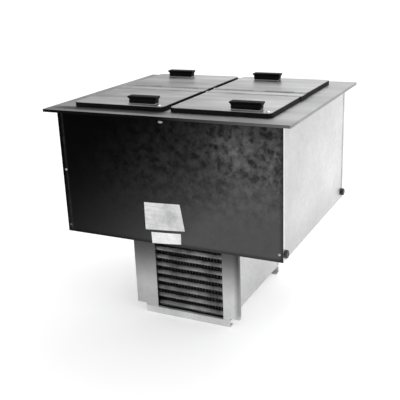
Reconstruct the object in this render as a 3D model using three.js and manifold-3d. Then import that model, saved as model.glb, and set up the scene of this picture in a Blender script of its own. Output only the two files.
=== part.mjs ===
// Ice cream dipping cabinet: a drop-in chest for four round tubs, hung in a counter by its flange,
// with two pairs of flip lids on top and the refrigeration unit in a louvred housing underneath.
// Millimetres, +Z up. The origin is on the floor under the middle of the cabinet; the front faces -Y.

import * as THREE from "three";
import { mergeVertices } from "three/addons/utils/BufferGeometryUtils.js";
import Module from "manifold-3d";

const wasm = await Module();
wasm.setup();

// Cabinet body, measured over its panels
const bodyWidth = 711;
const bodyDepth = 603;
const bodyHeight = 383;
const bodyBottom = 290;
const flangeReach = 30;
const rimDrop = 8;
const rimCorner = 3;

// Sheet gauges, and the gap and overrun that all pieces share
const panelSheet = 1;
const topSheet = 1.2;
const linerSheet = 1;
const frameSheet = 1.2;
const seam = 0.3;
const overrun = 5;
const foldWidth = 20;

// Lids and the openings under them
const lidGap = 17;
const lidSideRoom = 43;
const lidEndRoom = 28.5;
const lidWidth = (bodyWidth - lidGap) / 2 - lidSideRoom;
const lidLength = bodyDepth - 2 * lidEndRoom;
const lidPitch = lidWidth + lidGap;
const lidRise = 14.5;
const lidCorner = 15;
const sideLap = 16;
const endLap = 23;
const openingWidth = lidWidth - 2 * sideLap;
const openingLength = lidLength - 2 * endLap;
const openingCorner = 12;
const openingLip = 12;

// Levels that follow from the body
const flangeTop = bodyBottom + bodyHeight + rimDrop;
const lidTop = flangeTop + lidRise;
const sheetUnder = flangeTop - topSheet;
const panelTop = sheetUnder - seam;
const lipUnder = flangeTop - openingLip;

// Half sizes that many pieces share
const bodyX = bodyWidth / 2;
const bodyY = bodyDepth / 2;
const wallX = bodyX - panelSheet - seam;
const tankX = (lidPitch + openingWidth) / 2;
const tankY = openingLength / 2;

// Smoothness: steps in a quarter turn of an outline, sides of turned pieces and tubes, steps in a bend
const quarterSteps = 4;
const lidSteps = 6;
const turnedSides = 24;
const smallSides = 12;
const tubeSides = 8;
const hiddenSides = 6;
const bendSteps = 3;
const weld = 0.01;

// Materials
const finish = (color, roughness, metalness) =>
  new THREE.MeshStandardMaterial({ color, roughness, metalness });
const stainless = finish(0xc9cacc, 0.32, 0.95);
const galvanised = finish(0x8d9093, 0.5, 0.85);
const zincPlate = finish(0xb9bbbd, 0.42, 0.9);
const blackPlastic = finish(0x0c0c0d, 0.45, 0);
const blackVinyl = finish(0x101011, 0.6, 0);
const whitePlastic = finish(0xe6e4dc, 0.5, 0);
const foam = finish(0xe8d9a8, 0.95, 0);
const copper = finish(0xb4693f, 0.3, 1);
const blackPaint = finish(0x141416, 0.4, 0.3);
const rubber = finish(0x161616, 0.9, 0);
const aluminium = finish(0xb4b8bb, 0.4, 0.9);

// The whole cabinet, which every piece joins
const cabinet = new THREE.Group();

// Turns a closed geometry into a solid that can be joined and cut
function solid(geometry) {
  const bare = geometry.clone();
  bare.deleteAttribute("normal");
  bare.deleteAttribute("uv");
  const merged = mergeVertices(bare);
  return new wasm.Manifold(
    new wasm.Mesh({
      numProp: 3,
      vertProperties: merged.attributes.position.array,
      triVerts: new Uint32Array(merged.index.array),
    }),
  );
}

// Gives a solid back as a geometry, with vertices closer than the weld merged into one
function geometryOf(body) {
  const mesh = body.getMesh();
  const raw = new THREE.BufferGeometry();
  raw.setAttribute("position", new THREE.BufferAttribute(mesh.vertProperties, 3));
  raw.setIndex(new THREE.BufferAttribute(mesh.triVerts, 1));
  const geometry = mergeVertices(raw, weld);
  const corners = geometry.index.array;
  const kept = [];
  for (let i = 0; i < corners.length; i += 3) {
    const [a, b, c] = corners.slice(i, i + 3);
    if (a !== b && b !== c && c !== a) kept.push(a, b, c);
  }
  geometry.setIndex(kept);
  geometry.computeVertexNormals();
  return geometry;
}

// Adds a solid to a group as a named piece
function piece(name, body, material, group = cabinet) {
  const mesh = new THREE.Mesh(geometryOf(body), material);
  mesh.name = name;
  group.add(mesh);
  return mesh;
}

function join(first, ...others) {
  return others.reduce((sum, other) => sum.add(other), first);
}

function cut(first, ...tools) {
  return tools.reduce((rest, tool) => rest.subtract(tool), first);
}

// Sets the vertices of a unit geometry exactly at the two ends of a range along one axis
function spread(geometry, axis, isHigh, range) {
  const place = geometry.attributes.position;
  const [low, high] = [Math.min(...range), Math.max(...range)];
  for (let i = 0; i < place.count; i += 1) {
    place.setComponent(i, axis, isHigh(place.getComponent(i, axis)) ? high : low);
  }
}

// A block between two ranges along each axis, each given in either order
function block(...ranges) {
  const geometry = new THREE.BoxGeometry();
  ranges.forEach((range, axis) => spread(geometry, axis, (value) => value > 0, range));
  return solid(geometry);
}

// Axes that an outline is drawn on and pushed along; the third follows the right-hand rule
const onAxes = {
  x: [new THREE.Vector3(0, 1, 0), new THREE.Vector3(0, 0, 1), new THREE.Vector3(1, 0, 0)],
  y: [new THREE.Vector3(1, 0, 0), new THREE.Vector3(0, 0, 1), new THREE.Vector3(0, -1, 0)],
  z: [new THREE.Vector3(1, 0, 0), new THREE.Vector3(0, 1, 0), new THREE.Vector3(0, 0, 1)],
};

// Pushes an outline along an axis: drawn in y and z for x, in x and z for y, in x and y for z
function pushed(shape, axis, range, steps = quarterSteps) {
  const settings = { depth: 1, bevelEnabled: false, curveSegments: steps / 2 };
  const geometry = new THREE.ExtrudeGeometry(shape, settings);
  geometry.applyMatrix4(new THREE.Matrix4().makeBasis(...onAxes[axis]));
  const isHigh = axis === "y" ? (value) => value > -1 / 2 : (value) => value > 1 / 2;
  spread(geometry, "xyz".indexOf(axis), isHigh, range);
  return geometry;
}

function prism(shape, axis, range, steps) {
  return solid(pushed(shape, axis, range, steps));
}

// Turns a profile of [radius, height] points about an axis that passes through a point
function turned(profile, axis, centre, sides = turnedSides) {
  const points = profile.map(([radius, height]) => new THREE.Vector2(radius, height));
  const geometry = new THREE.LatheGeometry(points, sides);
  if (axis === "z") geometry.rotateX(Math.PI / 2);
  if (axis === "x") geometry.rotateZ(-Math.PI / 2);
  return solid(geometry.translate(...centre));
}

// A plain cylinder along an axis
function rod(radius, axis, range, centre, sides = turnedSides) {
  const low = Math.min(...range);
  const high = Math.max(...range);
  const at = centre.slice();
  at["xyz".indexOf(axis)] = 0;
  return turned([[0, low], [radius, low], [radius, high], [0, high]], axis, at, sides);
}

function outline(points) {
  return new THREE.Shape(points.map(([a, b]) => new THREE.Vector2(a, b)));
}

// A rectangle with round corners, as a path that a shape or a hole can use
function roundedPath(path, halfWide, halfHigh, radius, centre = [0, 0]) {
  const [x, y] = centre;
  const [left, right] = [x - halfWide + radius, x + halfWide - radius];
  const [bottom, top] = [y - halfHigh + radius, y + halfHigh - radius];
  path.absarc(right, top, radius, 0, Math.PI / 2);
  path.absarc(left, top, radius, Math.PI / 2, Math.PI);
  path.absarc(left, bottom, radius, Math.PI, 1.5 * Math.PI);
  path.absarc(right, bottom, radius, 1.5 * Math.PI, 2 * Math.PI);
  path.closePath();
  return path;
}

function roundedShape(halfWide, halfHigh, radius, centre) {
  return roundedPath(new THREE.Shape(), halfWide, halfHigh, radius, centre);
}

// A flat strip that follows an arc in an outline, as rolled blades and fan blades do
function arcStrip(centre, radius, thickness, from, to, steps) {
  const at = (reach, share) => {
    const angle = from + (to - from) * share;
    return [centre[0] + reach * Math.cos(angle), centre[1] + reach * Math.sin(angle)];
  };
  const shares = Array.from({ length: steps + 1 }, (_, i) => i / steps);
  const outer = shares.map((share) => at(radius, share));
  const inner = shares.map((share) => at(radius - thickness, share)).reverse();
  return outline([...outer, ...inner]);
}

// A pipe's route: straight runs between corners, each corner turned into an arc. A corner's
// fourth value is its own bend radius, where it has one.
class PipeRoute extends THREE.Curve {
  constructor(corners, bend) {
    super();
    this.nodes = PipeRoute.bent(corners, bend);
  }

  static bent(corners, bend) {
    const points = corners.map(([x, y, z]) => new THREE.Vector3(x, y, z));
    const nodes = [points[0]];
    for (let i = 1; i < points.length - 1; i += 1) {
      const radius = corners[i][3] ?? bend;
      const back = points[i - 1].clone().sub(points[i]).normalize();
      const ahead = points[i + 1].clone().sub(points[i]).normalize();
      const half = back.angleTo(ahead) / 2;
      const setback = radius / Math.tan(half);
      const inward = back.clone().add(ahead).normalize();
      const hub = points[i].clone().addScaledVector(inward, radius / Math.sin(half));
      const start = points[i].clone().addScaledVector(back, setback).sub(hub);
      const end = points[i].clone().addScaledVector(ahead, setback).sub(hub);
      const sweep = start.angleTo(end);
      for (let step = 0; step <= bendSteps; step += 1) {
        const share = step / bendSteps;
        const spoke = start.clone().multiplyScalar(Math.sin((1 - share) * sweep));
        spoke.addScaledVector(end, Math.sin(share * sweep)).divideScalar(Math.sin(sweep));
        nodes.push(spoke.add(hub));
      }
    }
    nodes.push(points[points.length - 1]);
    return nodes;
  }

  getPoint(share) {
    const place = Math.min(Math.max(share, 0), 1) * (this.nodes.length - 1);
    const first = Math.min(Math.floor(place), this.nodes.length - 2);
    return this.nodes[first].clone().lerp(this.nodes[first + 1], place - first);
  }

  getPointAt(share) {
    return this.getPoint(share);
  }

  getTangentAt(share) {
    const last = this.nodes.length - 1;
    const node = Math.round(share * last);
    const before = this.nodes[Math.max(node - 1, 0)];
    const here = this.nodes[node];
    const after = this.nodes[Math.min(node + 1, last)];
    const arriving = here.clone().sub(before).normalize();
    return arriving.add(after.clone().sub(here).normalize()).normalize();
  }
}

// A round tube, shut at its ends, along a pipe route
function pipe(corners, radius, bend, sides = tubeSides) {
  const route = new PipeRoute(corners, bend);
  const section = new THREE.Shape();
  section.absarc(0, 0, radius, 0, 2 * Math.PI);
  const geometry = new THREE.ExtrudeGeometry(section, {
    steps: route.nodes.length - 1,
    curveSegments: sides / 2,
    extrudePath: route,
  });
  return solid(geometry);
}

// Counter top: a stainless sheet with its rim turned down, and two openings with turned-down lips
const flangeX = bodyX + flangeReach;
const flangeY = bodyY + flangeReach;
const openingCentres = [-lidPitch / 2, lidPitch / 2];

function openingPrism(grow, range) {
  const shape = (x) =>
    roundedShape(openingWidth / 2 + grow, openingLength / 2 + grow, openingCorner + grow, [x, 0]);
  return join(...openingCentres.map((x) => prism(shape(x), "z", range)));
}

function makeTop() {
  const tray = prism(roundedShape(flangeX, flangeY, rimCorner), "z", [flangeTop - rimDrop, flangeTop]);
  const inside = block(
    [topSheet - flangeX, flangeX - topSheet],
    [topSheet - flangeY, flangeY - topSheet],
    [flangeTop - rimDrop - overrun, sheetUnder],
  );
  const lips = openingPrism(topSheet, [lipUnder, flangeTop]);
  const holes = openingPrism(0, [lipUnder - overrun, flangeTop + overrun]);
  piece("top_frame", cut(join(cut(tray, inside), lips), holes), stainless);
}

// Gasket: a foam rubber ring under the flange that seals it to the counter
const gasketWidth = 18;
const gasketInset = 2;
const gasketProud = 0.5;

function makeGasket() {
  const outerX = flangeX - topSheet - gasketInset;
  const outerY = flangeY - topSheet - gasketInset;
  const range = [flangeTop - rimDrop - gasketProud, panelTop];
  const through = [range[0] - overrun, range[1] + overrun];
  const [innerX, innerY] = [outerX - gasketWidth, outerY - gasketWidth];
  const ring = block([-outerX, outerX], [-outerY, outerY], range);
  const hole = block([-innerX, innerX], [-innerY, innerY], through);
  piece("counter_gasket", cut(ring, hole), rubber);
}

// Front and rear panels: shallow pans whose returns wrap the side panels and carry the floor
const panelReturn = 12;

function endPanel(side) {
  const outer = side * bodyY;
  const inner = side * (bodyY - panelSheet);
  const reach = side * (bodyY - panelReturn);
  const wide = bodyX - panelSheet;
  return cut(
    block([-bodyX, bodyX], [outer, reach], [bodyBottom, panelTop]),
    block([-wide, wide], [inner, reach - side * overrun], [bodyBottom + panelSheet, panelTop + overrun]),
  );
}

// Side panels: sheets folded in along their front, rear and bottom edges
const endInner = bodyY - panelSheet - seam;

function sidePanel(side) {
  const outer = side * wallX;
  const inner = side * (wallX - panelSheet);
  const fold = side * (wallX - foldWidth);
  const beyond = fold - side * overrun;
  const foldInner = endInner - panelSheet;
  const notchEnd = bodyY - panelReturn - seam;
  const notch = [bodyBottom - overrun, bodyBottom + panelSheet + seam];
  const across = [outer + side * overrun, beyond];
  return cut(
    block([outer, fold], [-endInner, endInner], [bodyBottom, panelTop]),
    block([inner, beyond], [-foldInner, foldInner], [bodyBottom + panelSheet, panelTop + overrun]),
    block(across, [notchEnd, endInner + overrun], notch),
    block(across, [-notchEnd, -endInner - overrun], notch),
  );
}

function makePanels() {
  piece("front_panel", endPanel(-1), galvanised);
  piece("rear_panel", endPanel(1), galvanised);
  piece("left_side_panel", sidePanel(-1), galvanised);
  piece("right_side_panel", sidePanel(1), galvanised);
}

// Round black plugs at the bottom corners of the right side, on the returns of the end panels
const plugRadius = 12;
const plugHeight = 9;
const plugFromEnd = 13;
const plugRise = 22;
const plugRound = 3;

function makePlugs() {
  const profile = [
    [0, 0],
    [plugRadius, 0],
    [plugRadius, plugHeight - plugRound],
    [plugRadius - plugRound / 3, plugHeight - plugRound / 3],
    [plugRadius - plugRound, plugHeight],
    [0, plugHeight],
  ];
  for (const [endName, end] of [["front", -1], ["rear", 1]]) {
    const plug = piece(`right_${endName}_plug`, turned(profile, "x", [0, 0, 0], smallSides), blackPlastic);
    plug.position.set(bodyX + seam, end * (bodyY - plugFromEnd), bodyBottom + plugRise);
  }
}

// Breaker collar: one plastic moulding that lines both openings and the bar between them
const collarWall = 3;
const collarHeight = 27.5;
const collarTop = lipUnder - seam;
const collarBottom = collarTop - collarHeight;
const barX = (lidPitch - openingWidth) / 2 - collarWall;

function collarShape(grow) {
  const reach = collarWall + grow;
  return roundedShape(tankX + reach, tankY + reach, openingCorner + reach);
}

function makeCollar() {
  const mould = prism(collarShape(0), "z", [collarBottom, collarTop]);
  const holes = openingPrism(0, [collarBottom - overrun, collarTop + overrun]);
  const trough = block(
    [-barX, barX],
    [-(tankY + collarWall + overrun), tankY + collarWall + overrun],
    [collarBottom + collarWall, collarTop + overrun],
  );
  piece("opening_collar", cut(mould, holes, trough), whitePlastic);
}

// Tank: a drawn metal liner with round corners and a flange that the collar stands on
const floorFoam = 55;
const linerFlange = 13;
const linerCorner = 12;
const floorBottom = bodyBottom + panelSheet + seam;
const foamBottom = floorBottom + panelSheet + seam;
const linerBottom = foamBottom + floorFoam + seam;
const linerTop = collarBottom - seam;

function tankShape(grow) {
  return roundedShape(tankX + grow, tankY + grow, linerCorner + grow);
}

function makeLiner() {
  const shell = prism(tankShape(linerSheet), "z", [linerBottom, linerTop]);
  const flange = prism(tankShape(linerFlange), "z", [linerTop - linerSheet, linerTop]);
  const inside = prism(tankShape(0), "z", [linerBottom + linerSheet, linerTop + overrun]);
  piece("tank_liner", cut(join(shell, flange), inside), stainless);
}

// Machine housing, measured over its front frame
const housingWidth = 361;
const housingDepth = 439;
const housingBottom = 30;
const railTop = 22.7;
const wingReach = 30.5;
const housingX = housingWidth / 2;
const frontFace = -205.5;
const rearFace = frontFace + housingDepth;
const machineX = housingX - wingReach;
const frontInner = frontFace + frameSheet;
const housingTop = floorBottom - seam;

// Condenser and the airway behind the louvres
const airwayX = 11;
const condenserRoom = 27;
const condenserWidth = 2 * (machineX - airwayX - condenserRoom);
const condenserHeight = 222;
const condenserDepth = 40;
const condenserSetback = 19.5;
const condenserFront = frontFace + condenserSetback;
const condenserBack = condenserFront + condenserDepth;

// Places and sizes that the refrigerant pipes share
const tubeRadius = 4.8;
const tubeBend = 20;
const capillaryRadius = 2;
const capillaryBend = 8;
const drierFromWall = 42;
const passFromRear = 53.5;
const passY = rearFace - passFromRear;
const drierFromPass = 60;
const drierPlace = [machineX - drierFromWall, passY - drierFromPass];
const drierBottom = 84;
const drierLength = 96;
const drierTop = drierBottom + drierLength;
const suctionX = -60;
const suctionTop = 249.5;
const pipeLevel = 322;

// Evaporator: one tube wound round the tank from the bottom up, fed by a capillary from the drier
const coilTurns = 5;
const coilEnds = 25;
const coilStart = linerBottom + coilEnds;
const coilEnd = linerTop - coilEnds;
const coilClear = 1;
const coilOffset = linerSheet + coilClear + tubeRadius;
const coilX = tankX + coilOffset;
const coilY = tankY + coilOffset;
const coilBend = linerCorner + coilOffset;
const outletBend = 12;
const returnY = coilY + 2 * outletBend + seam;
const feedOverlap = 5;
const feedLevel = 247;

// The coil's corners: each turn visits four, climbing evenly with the way round
function coilCorners() {
  const round = 4 * (coilX + coilY);
  const climb = (coilEnd - coilStart) / (coilTurns * round);
  const stops = [
    [-coilX, coilY],
    [-coilX, -coilY],
    [coilX, -coilY],
    [coilX, coilY],
  ];
  const corners = [];
  let way = 0;
  let last = [drierPlace[0], coilY];
  for (let turn = 0; turn < coilTurns; turn += 1) {
    for (const stop of stops) {
      way += Math.abs(stop[0] - last[0]) + Math.abs(stop[1] - last[1]);
      corners.push([...stop, coilStart + climb * way]);
      last = stop;
    }
  }
  return corners;
}

function evaporatorTube(grow) {
  const [feedX, feedY] = drierPlace;
  const corners = coilCorners();
  const top = corners[corners.length - 1][2];
  const coil = [
    [feedX, coilY, coilStart - coilBend - feedOverlap],
    [feedX, coilY, coilStart],
    ...corners,
    [suctionX, coilY, top, outletBend],
    [suctionX, returnY, top, outletBend],
    [suctionX, returnY, pipeLevel, tubeBend],
    [suctionX, passY, pipeLevel, tubeBend],
    [suctionX, passY, suctionTop + seam],
  ];
  const feed = [
    [feedX, feedY, drierTop + seam],
    [feedX, feedY, feedLevel],
    [feedX, passY, feedLevel],
    [feedX, passY, pipeLevel],
    [feedX, coilY, pipeLevel],
    [feedX, coilY, coilStart - coilBend],
  ];
  return join(
    pipe(coil, tubeRadius + grow, coilBend, hiddenSides),
    pipe(feed, capillaryRadius + grow, capillaryBend, hiddenSides),
  );
}

// Foam: one block cast between the panels and the tank, with a bar across under the counter top
const floorFold = 12;
const foamX = wallX - panelSheet - seam;
const foamY = endInner - panelSheet - seam;

function makeFoam() {
  const foldTop = floorBottom + floorFold + seam;
  const [lowX, lowY] = [foamX - panelSheet - seam, foamY - panelSheet - seam];
  const mass = join(
    block([-lowX, lowX], [-lowY, lowY], [foamBottom, foldTop]),
    block([-foamX, foamX], [-foamY, foamY], [foldTop, panelTop]),
  );
  const hollowed = cut(
    mass,
    prism(tankShape(linerFlange + seam), "z", [linerBottom - seam, linerTop + seam]),
    prism(collarShape(seam), "z", [linerTop, panelTop + overrun]),
    evaporatorTube(seam),
  );
  const bar = block(
    [seam - barX, barX - seam],
    [-(tankY + linerFlange), tankY + linerFlange],
    [collarBottom + collarWall + seam, panelTop],
  );
  piece("tank_insulation", join(hollowed, bar), foam);
}

function makeFloor() {
  const foldTop = floorBottom + floorFold;
  const [innerX, innerY] = [foamX - panelSheet, foamY - panelSheet];
  const tray = cut(
    block([-foamX, foamX], [-foamY, foamY], [floorBottom, foldTop]),
    block([-innerX, innerX], [-innerY, innerY], [floorBottom + panelSheet, foldTop + overrun]),
  );
  piece("floor_panel", cut(tray, evaporatorTube(seam)), galvanised);
}

// Base frame: two channel rails under a pan that carries the refrigeration unit
const railInset = 2;
const railWidth = 2 * (machineX - railInset);
const railDepth = 24.5;
const railSheet = 1.5;
const panInset = 23.5;
const panLap = 2;
const panReach = railDepth - panLap;
const panLength = housingDepth - 2 * panReach;
const panRange = [frontFace + panReach, frontFace + panReach + panLength];
const panSunk = 0.6;
const panTop = railTop - panSunk + railSheet;
const panEdgeTop = 36;
const panX = railWidth / 2 - panInset;
const deckTop = panTop + seam;

function railOutline(side) {
  const end = side < 0 ? frontFace : rearFace;
  const at = (depth, height) => [end - side * depth, height];
  return outline([
    at(0, 0),
    at(railDepth, 0),
    at(railDepth, railSheet),
    at(railSheet, railSheet),
    at(railSheet, railTop - railSheet),
    at(railDepth, railTop - railSheet),
    at(railDepth, railTop),
    at(0, railTop),
  ]);
}

function makeBase() {
  const beyond = [panRange[0] - overrun, panRange[1] + overrun];
  const panInner = panX - railSheet;
  const pan = cut(
    block([-panX, panX], panRange, [railTop - panSunk, panEdgeTop]),
    block([-panInner, panInner], beyond, [panTop, panEdgeTop + overrun]),
  );
  const rails = [-1, 1].map((side) => prism(railOutline(side), "x", [-railWidth / 2, railWidth / 2]));
  piece("base_frame", join(pan, ...rails), zincPlate);
}

// Front frame: two wings and a head round the louvre window, folded back along the wings
const windowSpare = 3;
const windowWidth = condenserWidth + 2 * windowSpare;
const windowTop = 281;
const wingFold = 13;
const standing = railTop + seam;
const windowLeft = airwayX - windowWidth / 2;
const windowRight = airwayX + windowWidth / 2;

function makeFrontFrame() {
  const wing = housingX;
  const notch = railWidth / 2;
  const wingInner = wing - frameSheet;
  const back = frontFace + wingFold;
  const through = [frontFace - overrun, back + overrun];
  const below = standing - overrun;
  const body = cut(
    block([-wing, wing], [frontFace, back], [standing, housingTop]),
    block([-wingInner, wingInner], [frontInner, back + overrun], [below, housingTop + overrun]),
    block([windowLeft, windowRight], through, [below, windowTop]),
    block([-wing - overrun, -notch], through, [below, housingBottom]),
    block([notch, wing + overrun], through, [below, housingBottom]),
  );
  piece("housing_front_frame", body, zincPlate);
}

// Louvre grille: rolled blades with hemmed front edges, their ends closed into two folded stiles
const louvrePitch = 26.7;
const louvreCount = 9;
const louvreLowest = 35.5;
const louvreRadius = 12.5;
const louvreSheet = 1;
const louvreHem = 1.2;
const louvreRecess = 6;
const louvreTurn = [178, 107];
const grilleLap = 12;
const grilleDepth = 17;
const grilleTop = 288;
const grilleHead = 276;
const grilleFoot = 4;
const grilleFront = frontInner + seam;
const grilleBack = grilleFront + grilleDepth;

function louvreBlade(level) {
  const [from, to] = louvreTurn.map(THREE.MathUtils.degToRad);
  const edge = [frontFace + louvreRecess, level];
  const hub = [edge[0] - louvreRadius * Math.cos(from), edge[1] - louvreRadius * Math.sin(from)];
  const ends = [windowLeft - frameSheet / 2, windowRight + frameSheet / 2];
  const blade = arcStrip(hub, louvreRadius, louvreSheet, from, to, quarterSteps);
  const hem = rod(louvreHem, "x", ends, [0, edge[0] + louvreHem, edge[1]], hiddenSides);
  return join(prism(blade, "x", ends), hem);
}

// The stiles and rails of the grille: a plate round the window with its edges turned back
function grilleFrame() {
  const left = windowLeft - grilleLap;
  const right = windowRight + grilleLap;
  const plateBack = grilleFront + frameSheet;
  const [leftTurn, rightTurn] = [windowLeft - frameSheet, windowRight + frameSheet];
  const headTurn = grilleHead + frameSheet;
  const [below, above, behind] = [standing - overrun, grilleTop + overrun, grilleBack + overrun];
  const behindPlate = outline([
    [left - overrun, below],
    [leftTurn, below],
    [leftTurn, headTurn],
    [rightTurn, headTurn],
    [rightTurn, below],
    [right + overrun, below],
    [right + overrun, above],
    [left - overrun, above],
  ]);
  const airway = outline([
    [grilleFront - overrun, standing + grilleFoot],
    [plateBack, standing + grilleFoot],
    [plateBack, standing + frameSheet],
    [behind, standing + frameSheet],
    [behind, grilleHead],
    [grilleFront - overrun, grilleHead],
  ]);
  return cut(
    block([left, right], [grilleFront, grilleBack], [standing, grilleTop]),
    prism(behindPlate, "y", [plateBack, behind]),
    prism(airway, "x", [windowLeft, windowRight]),
  );
}

function makeGrille() {
  const levels = Array.from({ length: louvreCount }, (_, i) => louvreLowest + i * louvrePitch);
  piece("louvre_grille", join(grilleFrame(), ...levels.map(louvreBlade)), zincPlate);
}

// Housing side walls, folded along every edge, and the slotted rear panel between them
const wallFlange = 27;
const wallRear = rearFace - panelSheet - seam;
const ledgeFront = grilleBack + seam;

// Thermostat behind the left wall, with its knob outside
const thermostatSetback = 105.5;
const thermostatY = frontFace + thermostatSetback;
const thermostatRise = 205;
const thermostatBox = 50;
const thermostatDepth = 26.5;
const shaftRadius = 3;
const shaftReach = 11;
const shaftPlay = 0.4;
const shaftHole = 4.3;
const knobRadius = 20;
const knobHeight = 16;
const knobSkirt = 4;
const knobGrip = 14;
const knobRidge = 3;

function housingWall(side) {
  const outer = side * machineX;
  const inner = side * (machineX - panelSheet);
  const [flange, ledge] = [side * (machineX + wallFlange), side * (panX + seam)];
  const flangeBack = grilleFront + panelSheet;
  const [bottom, top] = [housingBottom, housingTop];
  const hollow = outline([
    [grilleFront - overrun, bottom - overrun],
    [ledgeFront, bottom - overrun],
    [ledgeFront, bottom + panelSheet],
    [wallRear - panelSheet, bottom + panelSheet],
    [wallRear - panelSheet, top - panelSheet],
    [ledgeFront, top - panelSheet],
    [ledgeFront, top + overrun],
    [grilleFront - overrun, top + overrun],
  ]);
  const outside = [outer, flange + side * overrun];
  return cut(
    block([flange, ledge], [grilleFront, wallRear], [bottom, top]),
    prism(hollow, "x", [inner, ledge - side * overrun]),
    block(outside, [flangeBack, wallRear + overrun], [bottom - overrun, top + overrun]),
  );
}

function makeHousingWalls() {
  const along = [-machineX - overrun, overrun - machineX];
  const hole = rod(shaftHole, "x", along, [0, thermostatY, thermostatRise], smallSides);
  piece("left_housing_wall", cut(housingWall(-1), hole), galvanised);
  piece("right_housing_wall", housingWall(1), galvanised);
}

const slotRows = 6;
const slotPitch = 26;
const slotLowest = 103;
const slotBar = 32;
const slotEdge = 29;
const slotLength = machineX - panelSheet - slotBar / 2 - slotEdge;
const slotHeight = 8;
const slotColumn = (slotBar + slotLength) / 2;
const slotSteps = 2;
const glandFromWall = 50;
const glandPlace = [machineX - glandFromWall, 56];
const glandHole = 11;

function makeRearPanel() {
  const wide = machineX - panelSheet;
  const range = [rearFace - panelSheet, rearFace];
  const through = [range[0] - overrun, range[1] + overrun];
  const holes = [rod(glandHole, "y", through, [glandPlace[0], 0, glandPlace[1]], smallSides)];
  for (let row = 0; row < slotRows; row += 1) {
    for (const x of [-slotColumn, slotColumn]) {
      const centre = [x, slotLowest + row * slotPitch];
      const slot = roundedShape(slotLength / 2, slotHeight / 2, slotHeight / 2, centre);
      holes.push(prism(slot, "y", through, slotSteps));
    }
  }
  const sheet = block([-wide, wide], range, [housingBottom, housingTop]);
  piece("housing_rear_panel", cut(sheet, ...holes), galvanised);
}

// Cord gland: a plastic bushing clamped through the rear panel, shut where the cord is left out
const glandNut = 13;
const glandNutDepth = 8;
const glandFlange = 4;
const glandDome = 9;
const glandDomeHeight = 4;

function makeGland() {
  const inner = rearFace - panelSheet - seam;
  const outer = rearFace + seam;
  const profile = [
    [0, inner - glandNutDepth],
    [glandNut, inner - glandNutDepth],
    [glandNut, inner],
    [glandHole - seam, inner],
    [glandHole - seam, outer],
    [glandNut, outer],
    [glandNut, outer + glandFlange],
    [glandDome, outer + glandFlange + glandDomeHeight],
    [0, outer + glandFlange + glandDomeHeight],
  ];
  const centre = [glandPlace[0], 0, glandPlace[1]];
  piece("cord_gland", turned(profile, "y", centre, smallSides), blackPlastic);
}

// Condenser: a pack of fins on a core, with return bends at its ends
const finCount = 22;
const finSheet = 1;
const coreDepth = 10;
const rowCount = 8;
const rowPitch = 26;
const rowLowest = 20;
const returnReach = 12;
const returnBend = 8;
const stubLength = 8;
const condenserX = [airwayX - condenserWidth / 2, airwayX + condenserWidth / 2];
const condenserY = condenserFront + condenserDepth / 2;
const fanRise = deckTop + condenserHeight / 2;

function finOutline() {
  const pitch = (condenserWidth - finSheet) / (finCount - 1);
  const comb = (tip, root) => {
    const points = [];
    for (let i = 0; i < finCount; i += 1) {
      const x = condenserX[0] + i * pitch;
      points.push([x, tip], [x + finSheet, tip]);
      if (i < finCount - 1) points.push([x + finSheet, root], [x + pitch, root]);
    }
    return points;
  };
  const front = comb(condenserFront, condenserY - coreDepth / 2);
  const back = comb(condenserBack, condenserY + coreDepth / 2).reverse();
  return outline([...front, ...back]);
}

function rowLevel(row) {
  return deckTop + rowLowest + row * rowPitch;
}

function returnTube(row) {
  const side = row % 2 === 0 ? 1 : 0;
  const outward = side === 1 ? 1 : -1;
  const root = condenserX[side] - outward * finSheet;
  const reach = condenserX[side] + outward * returnReach;
  return pipe(
    [
      [root, condenserY, rowLevel(row)],
      [reach, condenserY, rowLevel(row)],
      [reach, condenserY, rowLevel(row + 1)],
      [root, condenserY, rowLevel(row + 1)],
    ],
    tubeRadius,
    returnBend,
    hiddenSides,
  );
}

function makeCondenser() {
  const parts = [prism(finOutline(), "z", [deckTop, deckTop + condenserHeight])];
  for (let row = 0; row < rowCount - 1; row += 1) parts.push(returnTube(row));
  for (const row of [0, rowCount - 1]) {
    const range = [condenserX[0] - stubLength, condenserX[0] + finSheet];
    parts.push(rod(tubeRadius, "x", range, [0, condenserY, rowLevel(row)], hiddenSides));
  }
  piece("condenser_coil", join(...parts), aluminium);
}

// Fan: a shroud behind the condenser, a bladed wheel in its ring, and a motor on a bracket
const shroudDepth = 16;
const shroudBack = condenserBack + shroudDepth;
const shroudRim = 11;
const shroudHole = Math.min(condenserWidth, condenserHeight) / 2 - shroudRim;
const shroudLip = 12;
const bladeClear = 6;
const bladeReach = shroudHole - bladeClear;
const bladeCount = 5;
const bladeSheet = 1.5;
const bladeHalfAngle = 20;
const bladePitch = 22;
const hubRadius = 14;
const hubLength = 22;
const hubAhead = 5;
const hubFront = shroudBack - hubAhead;
const boreDepth = 16;
const motorRadius = 36;
const motorLength = 50;
const motorSetback = 35;
const motorFront = hubFront + motorSetback;
const motorRound = 6;
const motorSides = 16;
const bossRadius = 12;
const bossLength = 8;
const bracketWidth = 70;
const bracketDepth = 8;
const bracketSetback = 28;
const bracketBack = motorFront + bracketSetback;
const bracketRim = 8;
const footLength = 30;
const footSide = 2;

function makeShroud() {
  const [left, right] = condenserX;
  const tall = [deckTop, deckTop + condenserHeight];
  const front = condenserBack + seam;
  const plateFront = shroudBack - panelSheet;
  const centre = [airwayX, 0, fanRise];
  const tray = cut(
    block([left, right], [front, shroudBack], tall),
    block(
      [left + panelSheet, right - panelSheet],
      [front - overrun, plateFront],
      [tall[0] - overrun, tall[1] + overrun],
    ),
  );
  const lip = [shroudBack - panelSheet / 2, shroudBack + shroudLip];
  const ring = rod(shroudHole + panelSheet, "y", lip, centre);
  const hole = rod(shroudHole, "y", [front, lip[1] + overrun], centre);
  piece("fan_shroud", cut(join(tray, ring), hole), galvanised);
}

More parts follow.
